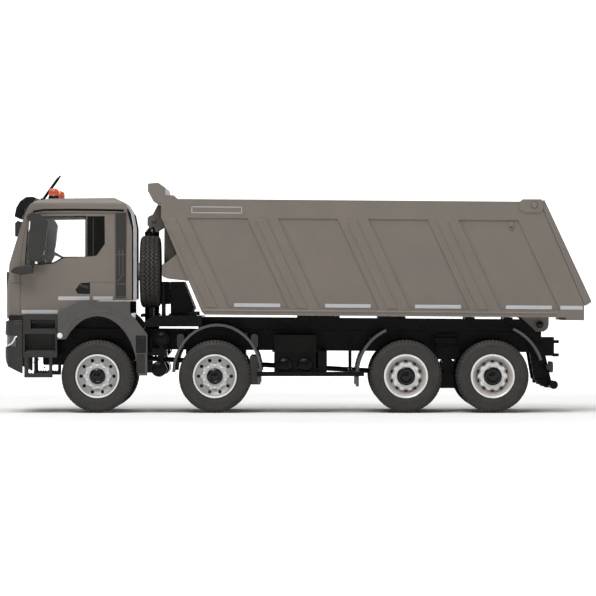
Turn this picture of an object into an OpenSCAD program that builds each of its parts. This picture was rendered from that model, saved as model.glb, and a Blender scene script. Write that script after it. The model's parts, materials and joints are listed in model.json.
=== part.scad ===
// Four-axle rear tipper, a 1:50 scale model in millimetres.
// +X points forward, +Y to the left and +Z up, with the ground at z = 0 and x = 0 midway along the length.

/* [Overall] */
// Length from the bumper to the tailgate's lip
overall_l = 182; // [170:1:222]
// Width over the tyres and the bed
body_w = 50; // [48:0.5:60]
// Nose-up angle of the frame, subframe and bed over level ground
rake = 0.45; // [0:0.05:0.6]

/* [Axles and wheels] */
// From the bumper back to the first axle
front_overhang = 28.8; // [28:0.1:32]
// From the first steered axle to the second
steer_gap = 36.4; // [34:0.1:44]
// Between the two driven axles
bogie_gap = 26.9; // [24.5:0.1:32]
// From the last axle back to the tailgate's lip
rear_overhang = 30.6; // [28:0.1:34]
// Tyre radius
tyre_r = 11.2; // [9.5:0.1:11.8]
// Tyre width
tyre_w = 6.4; // [5.4:0.1:7]
// Radius of the tyre's seat on the rim
rim_r = 6.7; // [6:0.1:7.4]
// Centre to centre of a twin pair
twin_pitch = 7.2; // [7.1:0.1:8]
// Hand holes and wheel nuts in a rim
rim_holes = 10; // [6:1:12]
// Radius of a stub axle and of the driven axles' rods
stub_r = 0.9; // [0.7:0.05:1.1]
// Kingpin radius
kingpin_r = 0.6; // [0.5:0.05:0.75]
// Kingpin inboard of the wheel's mid-plane
kingpin_inset = 2.2; // [1.8:0.1:2.6]
// Length of a steering arm
steer_arm = 3.2; // [2.6:0.1:3.6]

/* [Frame] */
// Width over the frame rails
frame_w = 17.6; // [16:0.2:18]
// Wall of a frame rail
rail_t = 1.6; // [1.2:0.1:2]
// Underside of the frame rails
frame_z0 = 18.4; // [17:0.1:19]
// Height of a frame rail
frame_h = 6.5; // [5:0.1:7]
// Height of the tipper's subframe
subframe_h = 3.8; // [3:0.1:4]

/* [Tipper] */
// Height of the tilt pivot
tilt_z = 27.1; // [26:0.1:28]
// From the tailgate's lip forward to the tilt pivot
tilt_from_rear = 15.2; // [14:0.1:17]
// Tilt pin radius
tilt_pin_r = 1.1; // [0.8:0.1:1.3]
// Underside of the bed
bed_z0 = 29.45; // [29:0.05:30.5]
// Top of the bed's rail
bed_z1 = 65.3; // [58:0.1:72]
// Height of the top rail
bed_rail_h = 5.9; // [4:0.1:7]
// Thickness of the bed's floor and walls
bed_wall = 0.9; // [0.7:0.05:1.3]
// How far the ribs stand out of the side panels
rib_proud = 0.5; // [0.3:0.05:0.6]
// Width of a recessed side panel
panel_w = 18.6; // [14:0.1:22]
// Distance from one panel to the next
panel_pitch = 28.05; // [24:0.05:34]
// Tailgate hinge pin radius
gate_pin_r = 0.6; // [0.4:0.05:0.8]

/* [Ram] */
// Outer radius of the ram's barrel
ram_r = 2.3; // [2:0.05:2.5]
// Wall of each ram tube
ram_wall = 0.3; // [0.25:0.01:0.32]
// Gap between nested tubes
ram_gap = 0.1; // [0.06:0.01:0.12]
// Height of the ram's lower pivot
ram_z0 = 20; // [19.5:0.1:21]
// Height of the ram's top pin
ram_z1 = 60.3; // [58:0.1:61]

/* [Cab] */
// Width of the cab
cab_w = 44.8; // [42:0.2:46]
// Length of the cab
cab_l = 39.4; // [38.5:0.1:40]
// Wall of the cab shell
cab_wall = 1; // [0.8:0.05:1.2]
// Thickness of the window glass
glass_t = 0.45; // [0.35:0.05:0.5]

/* [Hidden] */

PAINT = [0.45, 0.42, 0.39];
BLACK = [0.06, 0.06, 0.06];
PLASTIC = [0.22, 0.22, 0.22];
RUBBER = [0.16, 0.15, 0.15];
SILVER = [0.78, 0.78, 0.78];
GLASS = [0.6, 0.7, 0.75];
AMBER = [0.95, 0.4, 0.05];
$fn = 48;

// Running gap of a pin, gap of a pressed seat, and clearance between pieces that stand side by side
run = 0.05;
seat = 0.02;
near = 0.15;

x_front = overall_l / 2;
x_rear = -overall_l / 2;
half_w = body_w / 2;
axle_1 = x_front - front_overhang;
axle_2 = axle_1 - steer_gap;
axle_4 = x_rear + rear_overhang;
axle_3 = axle_4 + bogie_gap;
bogie_x = (axle_3 + axle_4) / 2;
tilt_x = x_rear + tilt_from_rear;
cab_x0 = x_front - cab_l;
wheel_y = half_w - tyre_w / 2;
twin_y = wheel_y - twin_pitch;
kingpin_y = wheel_y - kingpin_inset;
rail_y = frame_w / 2;
rail_web = rail_t / 2;
rail_x0 = tilt_x - 0.6;
rail_x1 = x_front - 5.2;
frame_z1 = frame_z0 + frame_h;
subframe_z1 = frame_z1 + subframe_h;
deck_x1 = cab_x0 - 3.9;
ram_x = cab_x0 - 5.5;

// Bed: skew of its front wall, and of its ribs and posts, as run forward for each unit of height
slant = 0.438;
rib_slant = 0.475;
bed_y1 = half_w;
bed_panel_y = bed_y1 - rib_proud;
bed_in_y = bed_panel_y - bed_wall;
bed_foot_x = cab_x0 - 21.7;
deck_z1 = subframe_z1 + (bed_foot_x - tilt_x) * sin(rake) + 0.47;
bed_head_x = cab_x0 - 8.9;
bed_rail_z0 = bed_z1 - bed_rail_h;
bed_sill_z1 = bed_z0 + 2.2;
gate_pin_x = tilt_x + 2.8;
gate_pin_z = bed_z1 - 1.05;

// Level block between two corners
module block(x0, x1, y0, y1, z0, z1) {
    translate([x0, y0, z0]) cube([x1 - x0, y1 - y0, z1 - z0]);
}

// Side outline (x, z) pulled across from y0 to y1
module slab(y0, y1) {
    translate([0, y1, 0]) rotate([90, 0, 0]) linear_extrude(y1 - y0) children();
}

// Front outline (y, z) pulled along from x0 to x1
module length(x0, x1) {
    translate([x0, 0, 0]) rotate([90, 0, 90]) linear_extrude(x1 - x0) children();
}

// Plan outline (x, y) raised from z0 to z1
module plan(z0, z1) {
    translate([0, 0, z0]) linear_extrude(z1 - z0) children();
}

// Round bars along each axis
module bar_x(y, z, r, x0, x1) {
    translate([x0, y, z]) rotate([0, 90, 0]) cylinder(r = r, h = x1 - x0);
}
module bar_y(x, z, r, y0, y1) {
    translate([x, y0, z]) rotate([-90, 0, 0]) cylinder(r = r, h = y1 - y0);
}
module bar_z(x, y, r, z0, z1) {
    translate([x, y, z0]) cylinder(r = r, h = z1 - z0);
}

// A piece on the left and its mirror image on the right
module both() {
    children();
    mirror([0, 1, 0]) children();
}

// What stands on the frame leans with it about the tilt pivot
module raked() {
    translate([tilt_x, 0, tilt_z]) rotate([0, -rake, 0]) translate([-tilt_x, 0, -tilt_z]) children();
}

// Points along an elliptical arc
function arc(x, z, rx, rz, a0, a1, n = 8) =
    [for (i = [0:n]) let (a = a0 + (a1 - a0) * i / n) [x + rx * cos(a), z + rz * sin(a)]];

// Curved strip of thickness t outside an elliptical arc
function strip(x, z, rx, rz, t, a0, a1, n = 12) =
    concat(arc(x, z, rx, rz, a0, a1, n), arc(x, z, rx + t, rz + t, a1, a0, n));

// Rectangle with rounded corners
function rounded(x0, x1, z0, z1, r, n = 4) = concat(
    arc(x1 - r, z1 - r, r, r, 0, 90, n), arc(x0 + r, z1 - r, r, r, 90, 180, n),
    arc(x0 + r, z0 + r, r, r, 180, 270, n), arc(x1 - r, z0 + r, r, r, 270, 360, n));

// Round-ended tank lying across the truck
module tank_y(x, z, r, y0, y1) {
    dome = 0.8;
    profile = concat([[0, y0]], [[r, y0], [r, y1 - dome]],
        [for (i = [1:5]) let (a = 18 * i) [r * cos(a), y1 - dome + dome * sin(a)]]);
    translate([x, 0, z]) rotate([-90, 0, 0]) rotate_extrude() polygon(profile);
}

// ---- frame ----

module rail_section() {
    lip = 1.6;
    difference() {
        polygon([[rail_y - lip, frame_z0], [rail_y, frame_z0], [rail_y, frame_z1], [rail_y - lip, frame_z1]]);
        polygon([[rail_y - lip - 1, frame_z0 + rail_web], [rail_y - rail_web, frame_z0 + rail_web],
                 [rail_y - rail_web, frame_z1 - rail_web], [rail_y - lip - 1, frame_z1 - rail_web]]);
    }
}

module cross_bar(x) {
    thick = 1.4;
    reach = rail_y - rail_web / 2;
    block(x - thick / 2, x + thick / 2, -reach, reach, frame_z0 + rail_web, frame_z1 - rail_web);
}

module chassis_frame() {
    color(BLACK) raked() {
        both() length(rail_x0, rail_x1) rail_section();
        for (x = [rail_x0 + 0.7, bogie_x, axle_3 + 12, (axle_2 + axle_3) / 2, axle_2 - 8, axle_2 + 9,
            rail_x1 - 0.7])
            cross_bar(x);
    }
}

// Two box beams that carry the tilt pin at their rear ends, with the bed's rest pads on top
module tipper_subframe() {
    beam_w = 3.2;
    end_r = 1.9;
    pads = [[8.4, 3], [20.3, 3.2], [42, 8.8], [62.7, 13.4]];
    color(BLACK) raked() {
        both() {
            block(tilt_x, bed_foot_x + 1.4, rail_y - beam_w, rail_y, frame_z1, subframe_z1);
            intersection() {
                bar_y(tilt_x, tilt_z, end_r, rail_y - beam_w, rail_y);
                block(tilt_x - end_r, tilt_x + 1, 0, rail_y, frame_z1, subframe_z1);
            }
            bar_y(tilt_x, tilt_z, tilt_pin_r, rail_y - beam_w, rail_y + 2.4);
            for (p = pads)
                block(tilt_x + p[0], tilt_x + p[0] + p[1],
                    rail_y - beam_w, rail_y, subframe_z1 - 0.1, bed_z0 - near);
        }
        for (x = [tilt_x + 10, bogie_x + 20, min(axle_2 - 4, bed_foot_x - 7)])
            block(x, x + 2, -rail_y + 1, rail_y - 1, frame_z1 + 0.2, subframe_z1 - 0.4);
    }
}

// Folded deck plate behind the cab, slotted for the ram
module service_deck() {
    y1 = half_w - 1.3;
    sheet = 1;
    skirt = 3.4;
    slot_y = ram_r + 0.6;
    x0 = bed_foot_x - 0.1;
    nose = 2.4;
    color(BLACK) difference() {
        slab(-y1, y1) polygon([[x0, deck_z1 - skirt], [x0, deck_z1], [deck_x1 - nose, deck_z1],
                               [deck_x1, deck_z1 - 2], [deck_x1, deck_z1 - skirt]]);
        block(x0 + sheet, deck_x1 - sheet, -y1 + sheet, y1 - sheet, deck_z1 - skirt - 1, deck_z1 - sheet);
        block(ram_x - ram_r - 6.4, ram_x + ram_r + 0.8, -slot_y, slot_y, deck_z1 - 2 * skirt, deck_z1 + 1);
        both() block(x0 - 1, x0 + sheet + 1, rail_y - 4, rail_y + near, deck_z1 - skirt - 1, deck_z1 - 0.4);
    }
}

// Trunnion blocks between the rails, and the black stands beside the ram
module ram_mount() {
    cheek_y = ram_r + 0.45;
    stand_y = rail_y + 3;
    color(BLACK) both() {
        difference() {
            block(ram_x - 1.8, ram_x + 1.8, cheek_y, rail_y - 1.6, ram_z0 - 1.6, ram_z0 + 2);
            bar_y(ram_x, ram_z0, 0.9 + run, cheek_y - 1, cheek_y + 1.6);
        }
        slab(ram_r + 1.7, stand_y)
            polygon([[bed_foot_x + 4.2, deck_z1], [bed_foot_x + 10, deck_z1],
                [bed_foot_x + 10, deck_z1 + 10.6],
                     [bed_foot_x + 5.8, deck_z1 + 10.6], [bed_foot_x + 2.4, deck_z1 + 2.2]]);
    }
}

// Cast engine block with its gearbox, seen from below between the rails
module engine_gearbox() {
    engine_y = 6.9;
    color(BLACK) {
        block(axle_1 - 6.4, axle_1 + 18, -engine_y, engine_y, 14.4, 28.6);
        block(axle_1 - 6.4, axle_1 + 11.4, -engine_y, engine_y, 28, 30.4);
        block(axle_1 - 11, axle_1 - 6.4, -4.4, 4.4, 15.6, 25);
    }
}

// Round shaft between two points in the middle plane
module propshaft(x0, z0, x1, z1, r) {
    span = norm([x1 - x0, z1 - z0]);
    translate([x0, 0, z0]) rotate([0, 90 - atan2(z1 - z0, x1 - x0), 0]) cylinder(r = r, h = span);
}

module propshafts() {
    color(BLACK) {
        propshaft(axle_3 + 5.1, 12.2, axle_1 - 11.2, 16.6, 0.8);
        propshaft(axle_4 + 4.2, 11.6, axle_3 - 4.2, 11.6, 0.7);
    }
}

// ---- axles ----

// Beam with a dropped middle, kingpin eyes at its ends and a leaf spring hung on the outside of each rail
module front_axle(x) {
    z = tyre_r;
    eye_r = 1.15;
    eye_h = 1.2;
    drop_y = rail_y + 2.2;
    tip_y = kingpin_y - 0.2;
    spring_y0 = rail_y - 1.2;
    hanger_y1 = rail_y + 1;
    hanger_z1 = frame_z0 + 4.6;
    reach = 8.4;
    difference() {
        union() {
            length(x - 1.1, x + 1.1)
                polygon([[-tip_y, z - eye_h], [-drop_y - 3, z - eye_h], [-drop_y, z - 2.6], [drop_y, z - 2.6],
                         [drop_y + 3, z - eye_h], [tip_y, z - eye_h], [tip_y, z + eye_h],
                         [drop_y + 3, z + eye_h],
                         [drop_y, z + 0.2], [-drop_y, z + 0.2], [-drop_y - 3, z + eye_h],
                         [-tip_y, z + eye_h]]);
            both() bar_z(x, kingpin_y, eye_r, z - eye_h, z + eye_h);
        }
        both() bar_z(x, kingpin_y, kingpin_r + run, z - 3, z + 3);
    }
    both() {
        slab(spring_y0, hanger_y1) polygon(strip(x, frame_z0 + 0.4, reach + 0.6, frame_z0 - z - 0.7, 1.2,
            200, 340, 10));
        for (end = [-1, 1])
            slab(rail_y, hanger_y1) polygon(rounded(x + end * reach - 1, x + end * reach + 1, z + 3.4,
                hanger_z1, 0.6));
    }
}

module front_axles() {
    color(BLACK) {
        front_axle(axle_1);
        front_axle(axle_2);
    }
}

// Driven axle: bored tube, round differential and the stub that meets the propshaft
module rear_axle(x) {
    z = tyre_r;
    tube_y = twin_y - tyre_w / 2 - 0.7;
    difference() {
        union() {
            bar_y(x, z, 1.7, -tube_y, tube_y);
            translate([x, 0, z]) sphere(r = 3.9);
            bar_x(0, z + 0.4, 1.5, x, x + 4.1);
        }
        bar_y(x, z, stub_r + run, -tube_y - 1, tube_y + 1);
    }
}

module rear_axles() {
    color(BLACK) {
        rear_axle(axle_3);
        rear_axle(axle_4);
    }
}

// Leaf packs that rock on a cross tube between the driven axles, with the pivot caps seen between the tyres
module bogie_springs() {
    y0 = rail_y + 0.05;
    y1 = twin_y - tyre_w / 2 - 0.6;
    pivot_z = 14.4;
    pivot_r = 2.1;
    span = bogie_gap / 2 - 1.2;
    color(BLACK) both() {
        slab(y0, y1) polygon(strip(bogie_x, 14.8, span, 2.6, 1.5, 20, 160, 10));
        bar_y(bogie_x, pivot_z, pivot_r, y0 - 2.4, y1 + 0.3);
        slab(y0, y1) polygon([[bogie_x - 3.4, 16.2], [bogie_x + 3.4, 16.2], [bogie_x + 4, 22.4],
            [bogie_x - 4, 22.4]]);
        slab(y0, y1) polygon([[bogie_x - 2.4, 7.2], [bogie_x + 2.4, 7.2], [bogie_x + 1.4, 13.4],
            [bogie_x - 1.4, 13.4]]);
    }
}

// Steering knuckle: fork about the beam's eye, kingpin, stub axle and a rearward arm with its joint pin
module knuckle(x, side) {
    z = tyre_r;
    half_fork = 1.3;
    gap = 0.1;
    fork_t = 0.75;
    color(BLACK) mirror([0, side < 0 ? 1 : 0, 0]) {
        for (s = [-1, 1])
            block(x - 1.1, x + 1.1, kingpin_y - 1, kingpin_y + 1.75,
                  z + s * (half_fork + fork_t / 2) - fork_t / 2,
                      z + s * (half_fork + fork_t / 2) + fork_t / 2);
        block(x - 1.1, x + 1.1, kingpin_y + 1.15 + near, kingpin_y + 1.75, z - half_fork - gap,
            z + half_fork + gap);
        bar_z(x, kingpin_y, kingpin_r, z - half_fork - gap, z + half_fork + gap);
        bar_y(x, z, stub_r, kingpin_y + 1.5, wheel_y + 2);
        block(x - steer_arm, x - 0.6, kingpin_y - 0.6, kingpin_y + 0.6, z - half_fork - fork_t,
            z - half_fork);
        bar_z(x - steer_arm, kingpin_y, 0.6, z - half_fork - fork_t, z - half_fork);
        bar_z(x - steer_arm, kingpin_y, 0.3, z - half_fork - fork_t - 1, z - half_fork);
    }
}

// Rod that couples the two steering arms of one axle, its eyes loose on their pins
module track_rod(x) {
    z1 = tyre_r - 2.05 - 0.1;
    eye_r = 1;
    rod_r = 0.45;
    color(BLACK) difference() {
        union() {
            bar_y(x - steer_arm, z1 - rod_r, rod_r, -kingpin_y + 0.8, kingpin_y - 0.8);
            both() bar_z(x - steer_arm, kingpin_y, eye_r, z1 - 2 * rod_r, z1);
        }
        both() bar_z(x - steer_arm, kingpin_y, 0.6, z1 - 2, z1 + 1);
    }
}

// ---- wheels ----

// Solid turned about an axle line along Y, drawn as (radius, distance outboard of the wheel's middle)
module turned(x, y, z, side) {
    mirror([0, side < 0 ? 1 : 0, 0]) translate([x, y, z]) rotate([-90, 0, 0]) rotate_extrude() children();
}

function tyre_outline() = let (h = tyre_w / 2, s = rim_r + seat) [
    [s, -h + 0.7], [rim_r + 0.5, -h + 0.15], [rim_r + 1.6, -h], [tyre_r - 1.5, -h + 0.1],
    [tyre_r - 0.4, -h + 0.6],
    [tyre_r, -h + 1.3], [tyre_r, h - 1.3], [tyre_r - 0.4, h - 0.6], [tyre_r - 1.5, h - 0.1],
    [rim_r + 1.6, h], [rim_r + 0.5, h - 0.15], [s, h - 0.7]];

module tyre(x, side) {
    color(RUBBER) turned(x, wheel_y, tyre_r, side) polygon(tyre_outline());
}

// Steered wheel: barrel, domed disc with hand holes and nuts, and a hub bored for the stub axle
module steered_rim(x, side) {
    h = tyre_w / 2;
    hub_r = 2.5;
    barrel_t = 0.6;
    hole_r = 0.55;
    color(SILVER) difference() {
        union() {
            turned(x, wheel_y, tyre_r, side) polygon([
                [stub_r + run, -0.2], [1.9, -0.2], [1.9, 1], [rim_r - barrel_t, 0.6],
                [rim_r - barrel_t, -h + 0.7],
                [rim_r, -h + 0.7], [rim_r, h - 0.5], [rim_r - 0.5, h - 0.1], [rim_r - 0.9, h - 0.5],
                [4.6, 2.2],
                [hub_r, 2.3], [hub_r, 2.9], [2, 3.1], [0, 3.1], [0, 2.1], [stub_r + run, 2.1]]);
            for (i = [0:rim_holes - 1])
                translate([x, 0, tyre_r]) rotate([0, 360 * (i + 0.5) / rim_holes, 0])
                    mirror([0, side < 0 ? 1 : 0, 0]) bar_y(3.45, 0, 0.3, wheel_y + 2, wheel_y + 2.6);
        }
        for (i = [0:rim_holes - 1])
            translate([x, 0, tyre_r]) rotate([0, 360 * i / rim_holes, 0])
                mirror([0, side < 0 ? 1 : 0, 0]) bar_y(5.1, 0, hole_r, wheel_y, wheel_y + 4);
    }
}

module rear_tyres(x) {
    color(RUBBER) for (side = [-1, 1]) {
        turned(x, wheel_y, tyre_r, side) polygon(tyre_outline());
        turned(x, twin_y, tyre_r, side) polygon(tyre_outline());
    }
}

// Driven wheels: two deep rims a side on one axle rod, with hubs, nuts and hub caps
module rear_rims(x) {
    h = tyre_w / 2;
    barrel_t = 0.6;
    inner = twin_y - h + 0.7;
    disc = wheel_y - 0.9;
    color(SILVER) {
        bar_y(x, tyre_r, stub_r, -disc - 0.5, disc + 0.5);
        for (side = [-1, 1]) {
            turned(x, 0, tyre_r, side) polygon([
                [rim_r - barrel_t, inner], [rim_r, inner], [rim_r, wheel_y + h - 0.5],
                [rim_r - 0.5, wheel_y + h - 0.1],
                [rim_r - 0.9, wheel_y + h - 0.6], [4.9, disc + 0.8], [4.3, disc + 0.8], [4.3, disc + 1.6],
                [2.8, disc + 1.9],
                [2.8, disc + 3.4], [2.3, disc + 3.8], [0, disc + 3.8], [0, disc], [rim_r - barrel_t, disc]]);
            for (i = [0:rim_holes - 1])
                translate([x, 0, tyre_r]) rotate([0, 360 * i / rim_holes, 0])
                    mirror([0, side < 0 ? 1 : 0, 0]) bar_y(3.6, 0, 0.3, disc + 1.2, disc + 2.2);
        }
    }
}

// ---- cab ----

// Cab side outline as [back from the bumper, height, inset forward, inset up], moved inwards by t
function cab_side(t) = [for (p = [
        [0.3, 29.1, -1, 0], [0.4, 37.7, -1, 0], [0.9, 41.7, -1, 0], [1.2, 46, -1, 0], [6.2, 61.8, -1, -0.3],
        [7.4, 64.2, -0.9, -0.6], [9.1, 65.6, -0.5, -0.9], [13.6, 66.4, 0, -1], [34, 66.6, 0, -1],
        [37, 65.2, 0.7, -0.7], [cab_l - 1, 62.9, 0.9, -0.5], [cab_l, 57.7, 1, 0], [cab_l, 30.3, 1, 0],
        [5.2, 30.3, 0, 0]])
    [x_front - p[0] + t * p[2], p[1] + t * p[3]]];

// Cab plan outline with rounded front corners
function cab_plan(t) = let (w = cab_w / 2 - t, f = x_front - 0.1 - t, r = 5 - t)
    concat([[cab_x0 + t, -w]],
        arc(f - r, -w + r, r, r, -90, 0, 6), arc(f - r, w - r, r, r, 0, 90, 6), [[cab_x0 + t, w]]);

// Cab front outline: upright sides that lean in above the waist and round into the roof
function cab_front(t) = let (w = cab_w / 2 - t, top = 66.9 - t, r = 2.6 - t)
    concat([[-w, 28.8], [w, 28.8], [w, 46]], arc(w - 0.6 - r, top - r, r, r, 0, 90, 5),
           arc(-w + 0.6 + r, top - r, r, r, 90, 180, 5), [[-w, 46]]);

module cab_form(t) {
    intersection() {
        slab(-cab_w, cab_w) polygon(cab_side(t));
        plan(0, 100) polygon(cab_plan(t));
        length(0, x_front + 10) polygon(cab_front(t));
    }
}

// Side glass outlines: the door's window and the narrow quarter light behind it
module door_window() {
    polygon([[x_front - 6.5, 46.1], [x_front - 7.5, 60.4], [cab_x0 + 14.5, 60.7], [cab_x0 + 14.5, 48.3],
             [cab_x0 + 21.2, 48.3], [cab_x0 + 24.3, 46.6], [cab_x0 + 27.8, 46.1]]);
}
module quarter_window() {
    polygon([[cab_x0 + 13.7, 60.7], [cab_x0 + 8.6, 60.6], [cab_x0 + 8.6, 52.5], [cab_x0 + 11.2, 48.9],
             [cab_x0 + 13.7, 48.6]]);
}

module window_prisms() {
    slab(-cab_w, cab_w) door_window();
    slab(-cab_w, cab_w) quarter_window();
    length(x_front - 9, x_front + 5) polygon(rounded(-cab_w / 2 + 3, cab_w / 2 - 3, 46.9, 61, 1.6));
}

fender_z1 = 34.6;
cab_floor_z = fender_z1 + 0.9;

// Hollow cab with cut windows, an open nose below the floor and a recess for the side air panels
module cab_shell() {
    arch_x = axle_1 + 12.2;
    color(PAINT) difference() {
        cab_form(0);
        intersection() {
            cab_form(cab_wall);
            block(0, x_front, -cab_w, cab_w, cab_floor_z, 100);
        }
        intersection() {
            cab_form(cab_wall);
            block(arch_x + cab_wall, x_front, -cab_w, cab_w, 0, cab_floor_z - cab_wall);
        }
        slab(-cab_w, cab_w) polygon([[cab_x0 - 1, 20], [arch_x, 20], [arch_x, 30.8],
            [arch_x - 6.8, fender_z1],
                                     [cab_x0 - 1, fender_z1]]);
        window_prisms();
        both() block(cab_x0 + 1.8, cab_x0 + 5, cab_w / 2 - 0.5, cab_w, cab_floor_z, 62);
        grille_block();
    }
}

module cab_windows() {
    inset = 0.25;
    color(GLASS) intersection() {
        difference() {
            cab_form(inset);
            cab_form(inset + glass_t);
        }
        window_prisms();
    }
}

// Floor tray with two seats, a rear bunk wall and the dashboard
module cab_interior() {
    y1 = cab_w / 2 - cab_wall - 0.6;
    x0 = cab_x0 + cab_wall + 0.4;
    seat_w = 7.6;
    dash_y = y1 - 1.6;
    color(BLACK) {
        block(x0, x_front - 5, -y1, y1, cab_floor_z, cab_floor_z + 0.8);
        slab(-dash_y, dash_y) polygon([[x_front - 9.4, cab_floor_z], [x_front - 2.9, cab_floor_z],
            [x_front - 2.9, 44.8],
                               [x_front - 5, 46], [x_front - 10.2, 45.2], [x_front - 11, 43.4]]);
        both() translate([0, 6, 0]) slab(0, seat_w)
            polygon([[x0 + 5, cab_floor_z], [x0 + 14, cab_floor_z], [x0 + 14.6, 41], [x0 + 6.6, 41.6],
                     [x0 + 4.6, 56.4], [x0 + 2.6, 56.2], [x0 + 3.4, 41]]);
    }
}

module steering_wheel() {
    tilt = -27;
    ring_r = 3.3;
    color(BLACK) translate([x_front - 14.7, 9.8, 49.4]) rotate([0, tilt, 0]) {
        rotate_extrude() translate([ring_r, 0]) circle(r = 0.32);
        block(-ring_r, ring_r, -0.35, 0.35, -0.2, 0.2);
        cylinder(r = 0.9, h = 0.9, center = true);
        translate([0, 0, -7.3]) cylinder(r = 0.4, h = 7.2);
    }
}

grille_y = 15;

module grille_block() {
    block(x_front - 0.55, x_front, -grille_y, grille_y, 31, 43.6);
}

// Dark slotted panel let into the nose
module front_grille() {
    y1 = grille_y;
    bars = 4;
    pitch = 3;
    x1 = x_front;
    color(PLASTIC) difference() {
        grille_block();
        for (i = [0:bars - 1]) block(x1 - 0.3, x1 + 1, -y1 + 1, y1 - 1, 32 + i * pitch, 33.6 + i * pitch);
    }
}

// Bumper wrapped round the corners, hollow behind, with lamp openings
module front_bumper() {
    y1 = half_w - 0.2;
    back = 5.6;
    wall = 1.2;
    color(PLASTIC) difference() {
        intersection() {
            slab(-y1, y1) polygon([[x_front - back, 11.9], [x_front - 0.9, 14.2], [x_front, 17],
                [x_front, 24.4],
                                   [x_front - 0.3, 28.4], [x_front - back, 28.7]]);
            plan(0, 100) polygon(concat([[x_front - 20, -y1]], arc(x_front - 4, -y1 + 4, 4, 4, -90, 0, 6),
                                        arc(x_front - 4, y1 - 4, 4, 4, 0, 90, 6), [[x_front - 20, y1]]));
        }
        block(x_front - 20, x_front - wall - 1, -y1 + wall, y1 - wall, 0, 27.5);
        both() lamp_pocket(0);
    }
}

// The space of one headlight, drawn in by t
module lamp_pocket(t) {
    block(x_front - 3.7 + t, x_front + 2, half_w - 9.4 + t, half_w + 1, 20.3 + t, 24 - t);
}

module headlights() {
    y1 = half_w - 0.2;
    color(SILVER) both() intersection() {
        lamp_pocket(0);
        plan(0, 100) polygon(concat([[x_front - 20, 0]], [[x_front - 0.3, 0]],
                                    arc(x_front - 4.3, y1 - 4.2, 4, 4, 0, 90, 6), [[x_front - 20,
                                        y1 - 0.2]]));
    }
}

// Step boxes ahead of the wheel arch with two treads, and the hanging lower step
module entry_steps() {
    y1 = half_w - 0.2;
    y0 = cab_w / 2 - 4.4;
    x1 = x_front - 5.7;
    x0 = axle_1 + 12.5;
    bar = 1.2;
    color(PLASTIC) both() {
        difference() {
            block(x0, x1, y0, y1, 17, 30.2);
            block(x0 + 0.6, x1 - 0.6, y0 + 1, y1 + 1, 18.7, 24.3);
            block(x0 + 0.6, x1 - 2.4, y0 + 1, y1 + 1, 25.5, 28.7);
        }
        block(x0 + 1.5, x1 - 0.4, y1 - 2.6, y1 - 0.2, 10.8, 10.8 + bar);
        block(x0 + 1.5, x0 + 2.5, y1 - 1.4, y1 - 0.2, 11, 17.5);
        block(x1 - 1.7, x1 - 0.4, y1 - 1.4, y1 - 0.2, 11, 17.5);
    }
}

// Arch panels over the first wheels, with a liner under them and the rear lobe that carries the side lamp
module cab_fenders() {
    y1 = half_w - 0.2;
    y0 = cab_w / 2 - 6.6;
    skin = 1;
    z = tyre_r;
    back = axle_1 - 15.5;
    color(PLASTIC) both() {
        slab(y1 - skin, y1) polygon(concat(
            [[axle_1 + 12.4, 22.6], [axle_1 + 12.4, 30.6], [axle_1 + 5.5, fender_z1 - 0.1],
             [cab_x0 + 0.4, fender_z1 - 0.1], [cab_x0 + 0.4, 30.4], [cab_x0 - 1.2, 29],
             [back, 24.2], [back, z + 0.2], [axle_1 - 12.5, z + 0.2]],
            arc(axle_1, z, 12.5, 18.6, 178, 38, 16)));
        slab(y0, y1 - skin) polygon(concat(
            [[axle_1 - 13.3, z + 0.2]],
            arc(axle_1, z, 12.5, 18.6, 178, 38, 16), arc(axle_1, z, 13.3, 19.4, 38, 178, 16)));
    }
}

module sun_visor() {
    w = cab_w / 2 - 1.2;
    color(BLACK) slab(-w, w) polygon([
        [x_front - 5, 59.8], [x_front - 2.8, 60.8], [x_front - 3.4, 63.6], [x_front - 4.5, 65.5],
        [x_front - 6.4, 66.9],
        [x_front - 8.3, 67], [x_front - 9.5, 66.7], [x_front - 9.5, 66], [x_front - 8.8, 65.75],
        [x_front - 7.2, 64.6], [x_front - 5.8, 62.9]]);
}

module side_air_panels() {
    inner = cab_w / 2 - 0.5;
    color(PLASTIC) both() block(cab_x0 + 1.8, cab_x0 + 5, inner, cab_w / 2 + 0.15, cab_floor_z, 62);
}

// Main mirrors on short arms outside the doors, and the ramp mirror ahead of the windscreen
module mirrors() {
    arm_y0 = cab_w / 2 + 0.02;
    y0 = half_w - 0.4;
    y1 = y0 + 3.6;
    color(PLASTIC) {
        both() {
            slab(y0, y1) polygon([
                [x_front - 7.6, 47.2], [x_front - 7.9, 54.5], [x_front - 8.2, 59.3], [x_front - 7.1, 59.7],
                [x_front - 7.2, 61], [x_front - 8.5, 61.9], [x_front - 10.8, 61.5], [x_front - 12.6, 60.4],
                [x_front - 13.6, 58.8], [x_front - 12.9, 52.5], [x_front - 12, 48], [x_front - 10.6, 46.6]]);
            slab(arm_y0, y1) polygon([
                [x_front - 8.7, 43.2], [x_front - 5.4, 42.6], [x_front - 2.5, 43.2], [x_front - 2.1, 43.9],
                [x_front - 3.4, 45], [x_front - 6.3, 45.5], [x_front - 8.9, 45.3]]);
            block(x_front - 9.2, x_front - 8, y0 + 1, y1 - 1, 45, 47.6);
            block(x_front - 10.2, x_front - 9.2, arm_y0 - 0.3, y0 + 0.2, 60, 61);
        }
        translate([0, -cab_w / 2 + 1.6, 0]) slab(0, 4)
            polygon([[x_front - 0.4, 55.2], [x_front - 0.4, 59.4], [x_front - 1.2, 60.2],
                [x_front - 3.4, 59.6],
                     [x_front - 2.6, 55]]);
    }
}

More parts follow.
